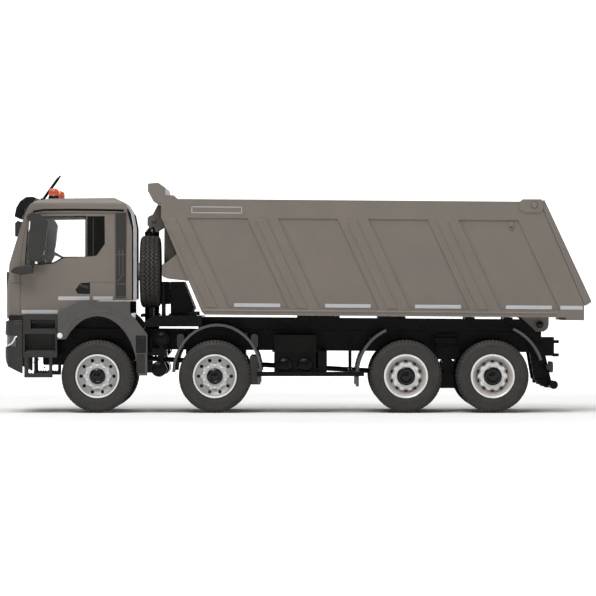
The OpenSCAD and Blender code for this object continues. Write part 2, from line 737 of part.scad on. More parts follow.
module beacons() {
    for (y = [-16, 16]) translate([x_front - 14.8, y, 66.45]) {
        color(BLACK) cylinder(r = 1.75, h = 0.9);
        color(AMBER) translate([0, 0, 0.9]) cylinder(r = 1.6, h = 1.2);
        color(AMBER) translate([0, 0, 2.1]) intersection() {
            scale(1.6) sphere(r = 1);
            cylinder(r = 2, h = 1.1);
        }
    }
}

module roof_antenna() {
    lean = -36;
    color(BLACK) translate([x_front - 10.4, 0, 66.1]) {
        cylinder(r = 0.8, h = 0.9);
        translate([0, 0, 0.4]) rotate([0, lean, 0]) cylinder(r = 0.3, h = 9.4);
    }
}

// ---- side gear ----

module air_tanks() {
    x = axle_2 + 16.4;
    y0 = rail_y + 2.2;
    y1 = half_w - 1.2;
    color(BLACK) both() {
        tank_y(x, 22.9, 1.9, y0, y1);
        tank_y(x + 1, 13.4, 2.3, y0, y1);
        block(x - 0.6, x + 1.6, rail_y, y0 + 3, 14.6, 22.4);
        block(x - 1.2, x + 3.2, y1 - 3, y1 - 0.6, 17.6, 19.8);
        block(x - 0.4, x + 0.8, y1 - 2.4, y1 - 1, 15, 22);
    }
}

// Left side: battery box on a shelf above two brake tanks in their rack
module battery_box() {
    x0 = axle_3 + 27.9;
    x1 = axle_2 - 18.4;
    y1 = half_w - 1;
    color(BLACK) {
        slab(rail_y, y1) polygon(rounded(x0, x1, 19.5, 24, 0.7));
        block(x0 - 0.4, x1 + 0.6, rail_y, y1, 18.7, 19.5);
        block(x0, x1 - 0.4, rail_y + 2, y1 - 2.4, 12, 18.7);
        for (x = [x0 + 3.4, x1 - 3.4]) tank_y(x, 14.5, 2.4, y1 - 3, y1 - 0.1);
        block(x0 - 3.4, x0 - 0.7, rail_y, y1 - 1, 12.8, 19);
    }
}

// Right side: fuel tank on two straps
module fuel_tank() {
    x0 = axle_3 + 24.4;
    x1 = axle_2 - 18.2;
    y1 = half_w - 0.9;
    color(BLACK) mirror([0, 1, 0]) {
        length(x0, x1) polygon(rounded(rail_y + 1.2, y1, 11.2, 24.2, 2.2, 5));
        for (x = [x0 + 3, x1 - 5]) block(x, x + 2, rail_y, rail_y + 1.6, 13, 23);
        translate([x0 + 9, y1 - 4, 24]) cylinder(r = 1.6, h = 0.9);
    }
}

// Side guard rail along the left, with its hangers
module side_bars() {
    y1 = half_w - 0.1;
    hang_x = axle_3 + 16.6;
    color(BLACK) {
        block(axle_3 + 13, axle_2 - 13.1, y1 - 0.9, y1, 11.2, 12.6);
        block(hang_x, hang_x + 1.3, rail_y, y1 - 0.5, 12, 13.4);
        block(hang_x + 0.1, hang_x + 1.1, rail_y, rail_y + 1.2, 12.2, 22);
    }
}

// Arched guards with hanging flaps: one pair over the second axle, split ones before and behind the bogie
module mudguards() {
    y1 = half_w - 1.1;
    y0 = rail_y + 4;
    t = 0.8;
    color(PLASTIC) both() {
        slab(y0 + 1.4, y1) {
            polygon(strip(axle_2 - 0.7, 11.9, 13.2, 14.8, t, 2, 178, 18));
            polygon([[axle_2 - 14.1, 8.6], [axle_2 - 13.2, 8.6], [axle_2 - 13.2, 13.4],
                [axle_2 - 14.1, 13.4]]);
        }
        slab(y0 - 2, y1) {
            polygon(strip(axle_3, tyre_r, 14.7, 15.2, t, 4, 66, 10));
            polygon([[axle_3 + 14.6, 8], [axle_3 + 15.5, 8], [axle_3 + 15.5, 13.4], [axle_3 + 14.6, 13.4]]);
            polygon(strip(axle_4, tyre_r, 15.4, 15.6, t, 114, 162, 10));
        }
        for (x = [axle_2 + 8, axle_2 - 9.4])
            bar_y(x, 24.1, 0.6, rail_y, y0 + 3);
        bar_y(axle_3 + 10.6, 22.5, 0.6, rail_y, y0);
        bar_y(axle_4 - 11, 22.6, 0.6, rail_y, y0);
    }
}

// Closing member across the rails with the jaw of the coupling and its upright pin hole
module tow_coupling() {
    x1 = rail_x0;
    depth = 4;
    jaw_x = x1 - depth - 1.9;
    bore_r = 0.6;
    color(BLACK) {
        block(x1 - depth, x1 - 0.02, -rail_y, rail_y, 17.3, 23.2);
        difference() {
            union() {
                block(jaw_x, x1 - depth + 0.1, -2.6, 2.6, 17, 18);
                block(jaw_x, x1 - depth + 0.1, -2.6, 2.6, 21.2, 22.2);
            }
            bar_z(jaw_x + 0.95, 0, bore_r, 10, 30);
        }
    }
}

module underride_guard() {
    bar_r = 1.3;
    bar_x0 = rail_x0 - 3;
    span = half_w - 1.6;
    leg_y = rail_y + 0.02;
    color(BLACK) {
        bar_y(bar_x0, 8.5, bar_r, -span, span);
        both() slab(leg_y, leg_y + 1.4)
            polygon([[rail_x0 + 4.4, 21.6], [rail_x0 + 2.4, 10], [rail_x0 - 1, 7.4], [bar_x0, 7.4],
                [bar_x0, 9.6],
                     [rail_x0 - 1.2, 17.6], [rail_x0 - 0.4, 21.6]]);
    }
}

module tail_lights() {
    x1 = rail_x0 - 0.8;
    y0 = rail_y + 1.5;
    color(PLASTIC) both() {
        block(x1 - 0.9, x1, y0, half_w - 3, 13.2, 14.6);
        block(x1 - 2, x1 - 0.9, half_w - 11.6, half_w - 3, 12.3, 15.7);
    }
}

// ---- spare wheel ----

spare_y = tyre_r + ram_r + 0.5;
spare_z = 43.7;
spare_x = cab_x0 - 5.6;

module spare_wheel_carrier() {
    back = spare_x - tyre_w / 2;
    color(BLACK) {
        block(back - 1.4, back - 0.3, spare_y - 4, spare_y + 4, deck_z1, 40.2);
        block(back - 0.4, spare_x - 0.8, spare_y - 1.6, spare_y + 1.6, 38.6, 40.2);
        block(spare_x - 1.6, spare_x - 0.6, spare_y - 1.6, spare_y + 1.6, 38.8, spare_z + 1.6);
        bar_x(spare_y, spare_z, stub_r, spare_x - 1, spare_x + 1.9);
        for (s = [-1, 1]) block(spare_x - 1, spare_x + 0.4, spare_y + s * 3.4 - 0.7, spare_y + s * 3.4 + 0.7,
                                deck_z1, spare_z - tyre_r + 0.15);
    }
}

// Revolve about an axle line along X, outer face forward
module turned_x() {
    translate([spare_x, spare_y, spare_z]) rotate([0, 90, 0]) rotate_extrude() children();
}

module spare_tyre() {
    color(RUBBER) turned_x() polygon(tyre_outline());
}

module spare_rim() {
    h = tyre_w / 2;
    barrel_t = 0.6;
    color(SILVER) turned_x() polygon([
        [stub_r + run, -0.4], [2.4, -0.4], [2.4, 0.4], [rim_r - barrel_t, 0], [rim_r - barrel_t, -h + 0.7],
        [rim_r, -h + 0.7], [rim_r, h - 0.5], [rim_r - 0.5, h - 0.1], [rim_r - 0.9, h - 0.5], [4.6, 2],
        [4.4, 2.6], [2.8, 3], [2.8, 3.8], [2.2, 4.1], [0, 4.1], [0, 2.1], [stub_r + run, 2.1]]);
}

// ---- tipper bed ----

function bed_face(z) = bed_foot_x + slant * (z - bed_z0 - 1);

bed_post_w = 9.1;
bed_lip_z = bed_z0 + 3.95;
bed_gate_top_x = gate_pin_x - 1.5;
bed_gate_foot_x = x_rear + 2.3;

function gate_line(z) = bed_gate_foot_x
    + (bed_gate_top_x - bed_gate_foot_x) * (z - bed_lip_z) / (bed_z1 - bed_lip_z);

// Hollow open bed: floor, slanted front wall, sides with recessed panels between slanted ribs
module tipper_bed() {
    head = bed_rail_z0;
    floor_z = bed_z0 + 1.3;
    rear_z = 28.6;
    first = bed_face(head) - 8;
    last = gate_line(head) + bed_post_w;
    band = panel_pitch - panel_w;
    count = max(1, round((first - last + band) / panel_pitch));
    pitch = (first - last + band) / count;
    ear_y = rail_y + 0.3;
    color(PAINT) raked() {
        difference() {
            union() {
                slab(-bed_y1, bed_y1)
                    polygon([[bed_foot_x - 0.9, bed_z0], [bed_foot_x, bed_z0 + 0.9], [bed_face(head), head],
                             [bed_head_x, head], [bed_head_x, bed_z1], [bed_gate_top_x, bed_z1],
                             [bed_gate_foot_x, bed_lip_z], [bed_gate_foot_x, rear_z], [tilt_x - 6.8, rear_z],
                             [tilt_x - 7.4, bed_z0]]);
                slab(-bed_y1 + 0.1, bed_y1 - 0.1)
                    polygon([[bed_head_x - 5.4, bed_z1 - 0.2], [bed_head_x - 0.6, bed_z1 - 1.7],
                        [bed_head_x + 2.4, bed_z1 - 0.9],
                             [bed_head_x + 4.2, bed_z1 + 2.4], [bed_head_x + 4.2, bed_z1 + 4.7],
                             [bed_head_x + 1, bed_z1 + 5], [bed_head_x - 1.2, bed_z1 + 3.5],
                             [bed_head_x - 1.3, bed_z1 + 1.2], [bed_head_x - 3.9, bed_z1 + 1.1]]);
            }
            slab(-bed_in_y, bed_in_y)
                polygon([[bed_foot_x - 1.6, floor_z], [bed_face(head) - 1, head],
                    [bed_head_x - 1.2, head + 0.4],
                         [bed_head_x - 1.2, bed_z1 + 9], [x_rear - 20, bed_z1 + 9], [x_rear - 20, floor_z]]);
            for (i = [0:count - 1]) both() panel_recess(first - i * pitch, pitch - band);
            both() block(gate_pin_x - 10, gate_pin_x + 1.9, bed_in_y - 1, bed_y1 - 0.7, bed_z1 - 2.6,
                bed_z1 + 1);
            both() bar_y(gate_pin_x, gate_pin_z, gate_pin_r + run, bed_in_y, bed_y1 + 1);
        }
        both() difference() {
            slab(ear_y, ear_y + 1.5)
                polygon([[tilt_x + 6.4, bed_z0 + 0.2], [tilt_x - 2.8, bed_z0 + 0.2], [tilt_x - 2.8, tilt_z],
                         [tilt_x - 2.4, tilt_z - 1.4], [tilt_x - 1.2, tilt_z - 2.2],
                         [tilt_x + 1.2, tilt_z - 2.2], [tilt_x + 2.6, tilt_z - 0.8]]);
            bar_y(tilt_x, tilt_z, tilt_pin_r + run, ear_y - 1, ear_y + 3);
        }
        for (side = [-1, 1]) front_beam(side);
    }
}

// One recessed side panel, leaning with the front wall
module panel_recess(x, w) {
    z1 = bed_rail_z0 + 0.1;
    drop = rib_slant * (z1 - bed_sill_z1);
    slab(bed_panel_y, bed_y1 + 1)
        polygon([[x, z1], [x - w, z1], [x - w - drop, bed_sill_z1], [x - drop, bed_sill_z1]]);
}

// Box beam across the front wall, left open in the middle for the ram
module front_beam(side) {
    gap_y = 4.4;
    y1 = bed_y1 - 1;
    color(PAINT) mirror([0, side < 0 ? 1 : 0, 0]) slab(gap_y, y1)
        polygon([[bed_face(48.4) - 0.3, 48.4], [bed_foot_x + 11, 45.6], [bed_foot_x + 11, 40.6],
                 [bed_face(39.9) - 0.3, 39.9]]);
}

// Cheeks on the front wall that hold the ram's head between them
module ram_head_bracket() {
    y0 = ram_r + near;
    y1 = y0 + 1.2;
    color(PAINT) raked() both() {
        slab(y0, y1) polygon([
            [bed_head_x + 0.02, bed_z1 - 1.8], [bed_head_x + 1.8, bed_z1 - 1.4],
            [bed_head_x + 3.4, bed_z1 - 4.6],
            [ram_x + 1.6, ram_z1 - 0.4], [ram_x + 1.6, ram_z1 - 2.9], [bed_head_x + 2, ram_z1 - 5.2],
            [bed_head_x + 0.02, ram_z1 - 3]]);
        slab(y0, y1) polygon([
            [bed_face(46.6) + 0.03, 46.6], [bed_head_x - 0.6, 46.6], [bed_head_x - 0.6, bed_rail_z0 - 1.4],
            [bed_face(bed_rail_z0 - 1.4) + 0.03, bed_rail_z0 - 1.4]]);
        slab(y0, y1) polygon([
            [bed_face(bed_rail_z0 - 2.2) + 0.06, bed_rail_z0 - 2.2], [bed_head_x - 0.6, bed_rail_z0 - 2.4],
            [bed_head_x + 2, ram_z1 - 5], [bed_head_x + 0.06, bed_rail_z0 - 0.1]]);
        bar_y(ram_x - 0.3, ram_z1 - 1, 0.8, y1 - 0.2, y1 + 0.6);
    }
}

// Tailgate hung from its top corners, framed round a thinner skin
module tailgate() {
    y1 = bed_y1;
    inner = bed_in_y - near;
    top_z = bed_z1 + 0.6;
    skin = 1;
    color(PAINT) raked() {
        difference() {
            slab(-y1, y1) polygon([
                [gate_line(bed_z1) - near, bed_z1], [bed_gate_top_x - 1.6, top_z], [x_rear + 0.7, 36],
                [x_rear, bed_lip_z + 1], [x_rear + 1.7, bed_lip_z - 0.2],
                [gate_line(bed_lip_z) - near, bed_lip_z]]);
            slab(-inner + 2, inner - 2) polygon([
                [gate_line(bed_z1 - 4) - near - skin, bed_z1 - 4], [bed_gate_top_x - 6, bed_z1 - 3],
                [x_rear - 3, 39], [gate_line(37.4) - near - skin, 37.4]]);
        }
        both() {
            slab(bed_in_y - 0.9, bed_in_y + 0.1) polygon(concat(
                arc(gate_pin_x, gate_pin_z, 1.2, 1.2, 90, -90, 6),
                [[gate_line(bed_z1 - 2.3) - near - 0.4, bed_z1 - 2.3],
                [bed_gate_top_x - 1.2, bed_z1 + 0.2]]));
            bar_y(gate_pin_x, gate_pin_z, gate_pin_r, bed_in_y - 0.4, bed_y1);
        }
    }
}

// ---- ram ----

ram_floor = ram_z0 - 1.4;
ram_step = ram_wall + ram_gap;

module ram_tube(i, z0, z1) {
    r = ram_r - i * ram_step;
    difference() {
        bar_z(ram_x, 0, r, z0, z1);
        bar_z(ram_x, 0, r - ram_wall, z0 - 1, z1 + 1);
    }
}

module ram_barrel() {
    color(BLACK) {
        difference() {
            bar_z(ram_x, 0, ram_r, ram_floor, ram_z1 - 3.9);
            bar_z(ram_x, 0, ram_r - ram_wall, ram_floor + 0.7, ram_z1);
        }
        both() bar_y(ram_x, ram_z0, 0.9, ram_r - 0.2, ram_r + 1.9);
    }
}

module ram_stage_1() {
    color(SILVER) ram_tube(1, ram_floor + 1, ram_z1 - 3.4);
}

module ram_stage_2() {
    color(SILVER) ram_tube(2, ram_floor + 1.3, ram_z1 - 2.9);
}

module ram_rod() {
    eye_r = 1.4;
    color(SILVER) {
        bar_z(ram_x, 0, ram_r - 3 * ram_step, ram_floor + 1.6, ram_z1 - 0.6);
        bar_y(ram_x, ram_z1, eye_r, -1.2, 1.2);
    }
}

chassis_frame();
tipper_subframe();
service_deck();
ram_mount();
engine_gearbox();
propshafts();
front_axles();
rear_axles();
bogie_springs();
cab_shell();
cab_windows();
cab_interior();
steering_wheel();
front_grille();
front_bumper();
headlights();
entry_steps();
cab_fenders();
sun_visor();
side_air_panels();
mirrors();
beacons();
roof_antenna();
air_tanks();
battery_box();
fuel_tank();
side_bars();
mudguards();
tow_coupling();
tail_lights();
underride_guard();
spare_wheel_carrier();
spare_tyre();
spare_rim();
tipper_bed();
ram_head_bracket();
tailgate();
ram_barrel();
ram_stage_1();
ram_stage_2();
ram_rod();
track_rod(axle_1);  // track_rod_1
track_rod(axle_2);  // track_rod_2
knuckle(axle_1, 1);  // knuckle_1_left
knuckle(axle_1, -1);  // knuckle_1_right
knuckle(axle_2, 1);  // knuckle_2_left
knuckle(axle_2, -1);  // knuckle_2_right
tyre(axle_1, 1);  // tyre_1_left
tyre(axle_1, -1);  // tyre_1_right
tyre(axle_2, 1);  // tyre_2_left
tyre(axle_2, -1);  // tyre_2_right
steered_rim(axle_1, 1);  // rim_1_left
steered_rim(axle_1, -1);  // rim_1_right
steered_rim(axle_2, 1);  // rim_2_left
steered_rim(axle_2, -1);  // rim_2_right
rear_tyres(axle_3);  // rear_tyres_1
rear_tyres(axle_4);  // rear_tyres_2
rear_rims(axle_3);  // rear_rims_1
rear_rims(axle_4);  // rear_rims_2
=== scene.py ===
import json
import math

import bmesh
import bpy
import numpy as np
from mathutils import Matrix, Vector


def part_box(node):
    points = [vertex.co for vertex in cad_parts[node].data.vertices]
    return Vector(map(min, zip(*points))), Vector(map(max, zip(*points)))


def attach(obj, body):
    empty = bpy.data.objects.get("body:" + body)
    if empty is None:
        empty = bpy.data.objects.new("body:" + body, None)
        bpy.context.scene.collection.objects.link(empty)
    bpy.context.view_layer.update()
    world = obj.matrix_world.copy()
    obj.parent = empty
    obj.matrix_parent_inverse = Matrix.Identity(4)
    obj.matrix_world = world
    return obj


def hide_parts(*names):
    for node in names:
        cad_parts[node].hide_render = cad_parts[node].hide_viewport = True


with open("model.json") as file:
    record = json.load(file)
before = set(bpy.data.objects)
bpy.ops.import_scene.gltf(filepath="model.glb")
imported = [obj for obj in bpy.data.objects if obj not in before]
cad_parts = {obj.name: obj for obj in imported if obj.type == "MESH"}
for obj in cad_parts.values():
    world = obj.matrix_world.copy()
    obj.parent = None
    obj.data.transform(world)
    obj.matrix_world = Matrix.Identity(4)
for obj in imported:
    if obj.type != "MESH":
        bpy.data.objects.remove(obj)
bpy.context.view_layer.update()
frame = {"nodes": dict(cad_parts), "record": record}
behaviour = frame["record"]["behaviour"]
bodyOf = {node: body for body, members in behaviour["bodies"].items() for node in members}
jointAt = {joint["name"]: joint["pos_m"] for joint in behaviour["joints"] if "pos_m" in joint}
mm = 0.001


def corners(node):
    low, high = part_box(node)
    return np.array(low) / mm, np.array(high) / mm


def middle(node):
    low, high = corners(node)
    return (low + high) / 2


# Anchors in millimetres: details are set back from the bumper's face, or out from a side face
front = corners("front_bumper")[1][0]
cabSide = corners("cab_shell")[1][1]
bedSide = corners("tipper_bed")[1][1]
fenderSide = corners("cab_fenders")[1][1]
tyreRadius = (corners("tyre_1_left")[1][2] - corners("tyre_1_left")[0][2]) / 2
rakeAngle = math.radians(0.45)
tiltPin = np.array(jointAt["bed_tilt"]) / mm

# Materials


def hexToLinear(code):
    shares = [int(code[i : i + 2], 16) / 255 for i in (1, 3, 5)]
    return tuple(c / 12.92 if c <= 0.04045 else ((c + 0.055) / 1.055) ** 2.4 for c in shares) + (1.0,)


def addNode(tree, kind, settings=None, inputs=None):
    node = tree.nodes.new(kind)
    for name, value in (settings or {}).items():
        setattr(node, name, value)
    for name, value in (inputs or {}).items():
        if isinstance(value, bpy.types.NodeSocket):
            tree.links.new(value, node.inputs[name])
        else:
            node.inputs[name].default_value = value
    return node


def surface(name, s):
    # Two tones mottled by noise, a gloss that drifts, two sizes of bump and settled dust on upward faces
    material = bpy.data.materials.new(name)
    material.use_nodes = True
    tree = material.node_tree
    tree.nodes.clear()
    place = addNode(tree, "ShaderNodeTexCoord").outputs["Object"]
    # Waves per metre = 1000 / size in mm
    waves = {}
    for use, size, detail in (("mottle", s["mottle"], 4), ("drift", s["drift"], 2), ("grain", s["grain"], 3),
                              ("swell", s["swell"], 2), ("patch", 6, 5)):
        inputs = {"Vector": place, "Scale": 1000 / size, "Detail": detail, "Roughness": 0.55}
        waves[use] = addNode(tree, "ShaderNodeTexNoise", {}, inputs).outputs["Fac"]
    facing = addNode(tree, "ShaderNodeNewGeometry").outputs["Normal"]
    waves["up"] = addNode(tree, "ShaderNodeSeparateXYZ", {}, {"Vector": facing}).outputs["Z"]
    # low + (high - low) * (value - start) / (end - start), held at both ends
    share = {}
    for use, low, high, start, end in (("mottle", 0, 1, 0.3, 0.7), ("drift", *s["rough"], 0.3, 0.7),
                                       ("patch", 0.4, 1, 0.3, 0.7), ("up", 0, s.get("dust", 0), 0.55, 1)):
        inputs = {"Value": waves[use], "From Min": start, "From Max": end, "To Min": low, "To Max": high}
        share[use] = addNode(tree, "ShaderNodeMapRange", {"clamp": True}, inputs).outputs["Result"]
    settled = addNode(tree, "ShaderNodeMath", {"operation": "MULTIPLY"}, {0: share["up"], 1: share["patch"]})
    colour = hexToLinear(s["tone"])
    for amount, other in ((share["mottle"], s["tone2"]), (settled.outputs[0], "#9A948B")):
        inputs = {0: amount, 6: colour, 7: hexToLinear(other)}
        colour = addNode(tree, "ShaderNodeMix", {"data_type": "RGBA"}, inputs).outputs[2]
    inputs = {"Strength": 1.0, "Distance": s["grainDepth"] * mm, "Height": waves["grain"]}
    shallow = addNode(tree, "ShaderNodeBump", {}, inputs).outputs["Normal"]
    inputs = {"Strength": 1.0, "Distance": s["swellDepth"] * mm, "Normal": shallow, "Height": waves["swell"]}
    bump = addNode(tree, "ShaderNodeBump", {}, inputs).outputs["Normal"]
    inputs = {"Base Color": colour, "Roughness": share["drift"], "Normal": bump, "Metallic": s.get("metal", 0.0),
              "Specular IOR Level": s.get("specular", 0.5), "Coat Weight": s.get("coat", 0.0),
              "Coat Roughness": s.get("coatRough", 0.1), "Transmission Weight": s.get("clear", 0.0),
              "IOR": s.get("ior", 1.5), "Emission Color": hexToLinear(s.get("glow", "#000000")),
              "Emission Strength": s.get("glowStrength", 0.0)}
    outputs = addNode(tree, "ShaderNodeBsdfPrincipled", {}, inputs).outputs["BSDF"]
    if s.get("sheer"):
        # Thin pane: mostly straight through, with the plastic's own sheen over it
        through = addNode(tree, "ShaderNodeBsdfTransparent", {}, {"Color": hexToLinear(s["tint"])}).outputs["BSDF"]
        outputs = addNode(tree, "ShaderNodeMixShader", {}, {0: s["sheer"], 1: outputs, 2: through}).outputs["Shader"]
    addNode(tree, "ShaderNodeOutputMaterial", {}, {"Surface": outputs})
    return material


finishes = {
    # Brown-grey satin shell: soft sheen, faint orange peel from the spray gun
    "body": ("zinc_die_cast_sprayed_satin_enamel", {
        "tone": "#6F675F", "tone2": "#6A625B", "mottle": 9, "drift": 14, "rough": (0.36, 0.46), "dust": 0.08,
        "grain": 0.35, "grainDepth": 0.008, "swell": 2.4, "swellDepth": 0.02, "coat": 0.15, "coatRough": 0.35}),
    # Deep black with glints: thick paint that has pooled over a pebbled casting
    "frame": ("zinc_die_cast_dipped_gloss_black", {
        "tone": "#0A0A09", "tone2": "#100F0E", "mottle": 5, "drift": 6, "rough": (0.16, 0.28), "specular": 0.12,
        "grain": 0.3, "grainDepth": 0.035, "swell": 1.1, "swellDepth": 0.025}),
    # Charcoal trim: dull, even, with a fine spark-eroded grain
    "plastic": ("abs_moulded_grained_charcoal", {
        "tone": "#2B2A28", "tone2": "#252422", "mottle": 7, "drift": 10, "rough": (0.4, 0.52), "specular": 0.4,
        "grain": 0.22, "grainDepth": 0.012, "swell": 3, "swellDepth": 0.015}),
    # Mid grey guards: plain matt moulding, lighter than the rest of the trim
    "guard": ("abs_moulded_matt_mid_grey", {
        "tone": "#4C4947", "tone2": "#454240", "mottle": 7, "drift": 10, "rough": (0.44, 0.56),
        "grain": 0.22, "grainDepth": 0.012, "swell": 3, "swellDepth": 0.015}),
    # Polished black: sharp highlights on visor, lamps and caps
    "shiny": ("abs_moulded_polished_black", {
        "tone": "#0C0C0B", "tone2": "#121110", "mottle": 5, "drift": 5, "rough": (0.12, 0.2), "specular": 0.3,
        "grain": 0.5, "grainDepth": 0.006, "swell": 3, "swellDepth": 0.02}),
    # Soft black-brown rubber: scuffed, with a chalky bloom in the sidewall
    "tyre": ("pvc_moulded_soft_tyre", {
        "tone": "#2B2926", "tone2": "#22201E", "mottle": 3.5, "drift": 5, "rough": (0.55, 0.72), "dust": 0.15,
        "grain": 0.18, "grainDepth": 0.015, "swell": 1.5, "swellDepth": 0.02}),
    # Fine metal flake under a satin skin: wheels read as pale aluminium
    "silver": ("abs_sprayed_aluminium_silver", {
        "tone": "#BDBDBD", "tone2": "#C6C6C5", "mottle": 2.5, "drift": 4, "rough": (0.34, 0.44), "metal": 0.3,
        "grain": 0.12, "grainDepth": 0.006, "swell": 1.5, "swellDepth": 0.01}),
    # Steered wheels' discs: duller and a darker grey than their rims
    "disc": ("abs_sprayed_dull_silver", {
        "tone": "#8F8F8F", "tone2": "#989897", "mottle": 2.5, "drift": 4, "rough": (0.36, 0.46), "metal": 0.3,
        "grain": 0.12, "grainDepth": 0.006, "swell": 1.5, "swellDepth": 0.01}),
    # Turned lips and flanges: the brightest silver of the wheels
    "bright": ("abs_sprayed_polished_silver", {
        "tone": "#E2E2E2", "tone2": "#E9E9E8", "mottle": 2.5, "drift": 3, "rough": (0.28, 0.38), "metal": 0.2,
        "grain": 0.12, "grainDepth": 0.004, "swell": 1.5, "swellDepth": 0.01}),
    # Driven rims' deep dish: the same spray, thin over grey-brown plastic
    "dish": ("abs_sprayed_thin_warm_grey", {
        "tone": "#C0BAB5", "tone2": "#B4AEA9", "mottle": 3, "drift": 4, "rough": (0.4, 0.5), "metal": 0.1,
        "grain": 0.12, "grainDepth": 0.006, "swell": 1.5, "swellDepth": 0.01}),
    # Near-invisible pane with a pale edge
    "pane": ("polystyrene_clear_moulded_pane", {
        "tone": "#EDEEEE", "tone2": "#E6E8E8", "mottle": 8, "drift": 8, "rough": (0.05, 0.09),
        "grain": 2, "grainDepth": 0.002, "swell": 6, "swellDepth": 0.01, "sheer": 0.95, "tint": "#FFFFFF"}),
    # Lamp cover over a mirror bowl
    "lens": ("polystyrene_clear_moulded_lens", {
        "tone": "#DADDDE", "tone2": "#C9CDCF", "mottle": 3, "drift": 4, "rough": (0.08, 0.14), "metal": 0.3,
        "grain": 0.4, "grainDepth": 0.02, "swell": 2, "swellDepth": 0.02, "coat": 1.0, "coatRough": 0.03}),
    # Smoked lamp cover: dark, wet-looking, the reflector only hinted at
    "smoked": ("polystyrene_smoked_moulded_lens", {
        "tone": "#2C2C2C", "tone2": "#222223", "mottle": 2, "drift": 3, "rough": (0.06, 0.12),
        "grain": 0.4, "grainDepth": 0.01, "swell": 2, "swellDepth": 0.02, "coat": 1.0, "coatRough": 0.03}),
    # Night-blue cab trim: matt, seen only through the windows
    "trim": ("abs_moulded_navy_black_trim", {
        "tone": "#1D1F29", "tone2": "#171922", "mottle": 5, "drift": 6, "rough": (0.5, 0.62),
        "grain": 0.25, "grainDepth": 0.012, "swell": 2, "swellDepth": 0.02}),
    # Clear orange domes with a faint painted glow, standing in for light passing through them
    "amber": ("polystyrene_tinted_orange_moulded_painted_glow", {
        "tone": "#D8541A", "tone2": "#C44A12", "mottle": 2, "drift": 3, "rough": (0.1, 0.18), "coat": 0.8,
        "grain": 0.5, "grainDepth": 0.004, "swell": 2, "swellDepth": 0.01, "clear": 0.12,
        "glow": "#C04A00", "glowStrength": 0.1}),
    # Deep red rear lenses
    "red": ("polystyrene_tinted_red_moulded", {
        "tone": "#9E1512", "tone2": "#86100E", "mottle": 2, "drift": 3, "rough": (0.1, 0.18), "coat": 0.8,
        "grain": 0.4, "grainDepth": 0.01, "swell": 2, "swellDepth": 0.01}),
    # Pale grey ink: flat printed bands
    "ink": ("tampo_printed_pale_grey_ink", {
        "tone": "#B4B6B9", "tone2": "#ACAFB3", "mottle": 4, "drift": 5, "rough": (0.42, 0.5),
        "grain": 0.15, "grainDepth": 0.004, "swell": 2, "swellDepth": 0.006}),
    # Gap lines, as dark as the shadow in a groove
    "groove": ("zinc_die_cast_groove_in_shadow", {
        "tone": "#4A443F", "tone2": "#423D38", "mottle": 3, "drift": 5, "rough": (0.6, 0.7),
        "grain": 0.3, "grainDepth": 0.01, "swell": 2, "swellDepth": 0.01}),
    # Ram tubes: mirror with a faint turned blur
    "chrome": ("steel_turned_chromed", {
        "tone": "#C9CBCD", "tone2": "#BFC2C5", "mottle": 2, "drift": 2, "rough": (0.1, 0.2), "metal": 1.0,
        "grain": 0.2, "grainDepth": 0.004, "swell": 2, "swellDepth": 0.01}),
    # Pins and knuckles: dull gunmetal
    "steel": ("steel_turned_blackened", {
        "tone": "#33332F", "tone2": "#3D3C3A", "mottle": 1.5, "drift": 2, "rough": (0.32, 0.46), "metal": 0.8,
        "grain": 0.2, "grainDepth": 0.01, "swell": 2, "swellDepth": 0.01}),
}
material = {key: surface(name, settings) for key, (name, settings) in finishes.items()}
print("materials", len(material))

# Building pieces


def place(mesh, name, finish, body, smooth=38):
    work = bmesh.new()
    work.from_mesh(mesh)
    bmesh.ops.remove_doubles(work, verts=work.verts, dist=2e-7)
    bmesh.ops.dissolve_degenerate(work, edges=work.edges, dist=1e-7)
    bmesh.ops.recalc_face_normals(work, faces=work.faces)
    work.to_mesh(mesh)
    work.free()
    if "custom_normal" in mesh.attributes:
        mesh.attributes.remove(mesh.attributes["custom_normal"])
    mesh.materials.clear()
    mesh.materials.append(material[finish])
    mesh.shade_smooth()
    mesh.set_sharp_from_angle(angle=math.radians(smooth))
    thing = bpy.data.objects.new(name, mesh)
    bpy.context.scene.collection.objects.link(thing)
    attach(thing, body)
    return thing


def makeMesh(name, parts):
    # Joins (points in mm, faces) pairs into one mesh
    mesh = bpy.data.meshes.new(name)
    starts = np.cumsum([0] + [len(points) for points, _ in parts])
    faces = [tuple(int(i) + int(start) for i in face) for (_, many), start in zip(parts, starts) for face in many]
    mesh.from_pydata(np.concatenate([points for points, _ in parts]) * mm, [], faces)
    return mesh


def gridFaces(rows, columns, loopRows=False):
    # Quads of a grid whose columns close on themselves; its rows too where asked
    r = np.arange(rows if loopRows else rows - 1)[:, None]
    c = np.arange(columns)[None, :]
    corner = lambda a, b: (a % rows) * columns + b % columns
    return np.stack([corner(r, c), corner(r, c + 1), corner(r + 1, c + 1), corner(r + 1, c)], -1).reshape(-1, 4)


def loft(rings):
    # Skin over rings of points, closed at both ends
    rings = np.asarray(rings, float)
    rows, columns = rings.shape[:2]
    faces = gridFaces(rows, columns).tolist()
    faces += [list(range(columns))[::-1], list(range((rows - 1) * columns, rows * columns))]
    return rings.reshape(-1, 3), faces


axes = {"x": (0, 1, 2), "y": (1, 0, 2), "z": (2, 0, 1)}


def prism(outline, axis, low, high):
    # Outline in the two other axes, in their order, pulled along one axis
    outline = np.asarray(outline, float)
    rings = np.zeros((2, len(outline), 3))
    main, a, b = axes[axis]
    rings[0, :, main], rings[1, :, main] = low, high
    rings[:, :, a], rings[:, :, b] = outline[:, 0], outline[:, 1]
    return loft(rings)


def brick(x0, x1, y0, y1, z0, z1):
    return prism([(x0, z0), (x1, z0), (x1, z1), (x0, z1)], "y", y0, y1)


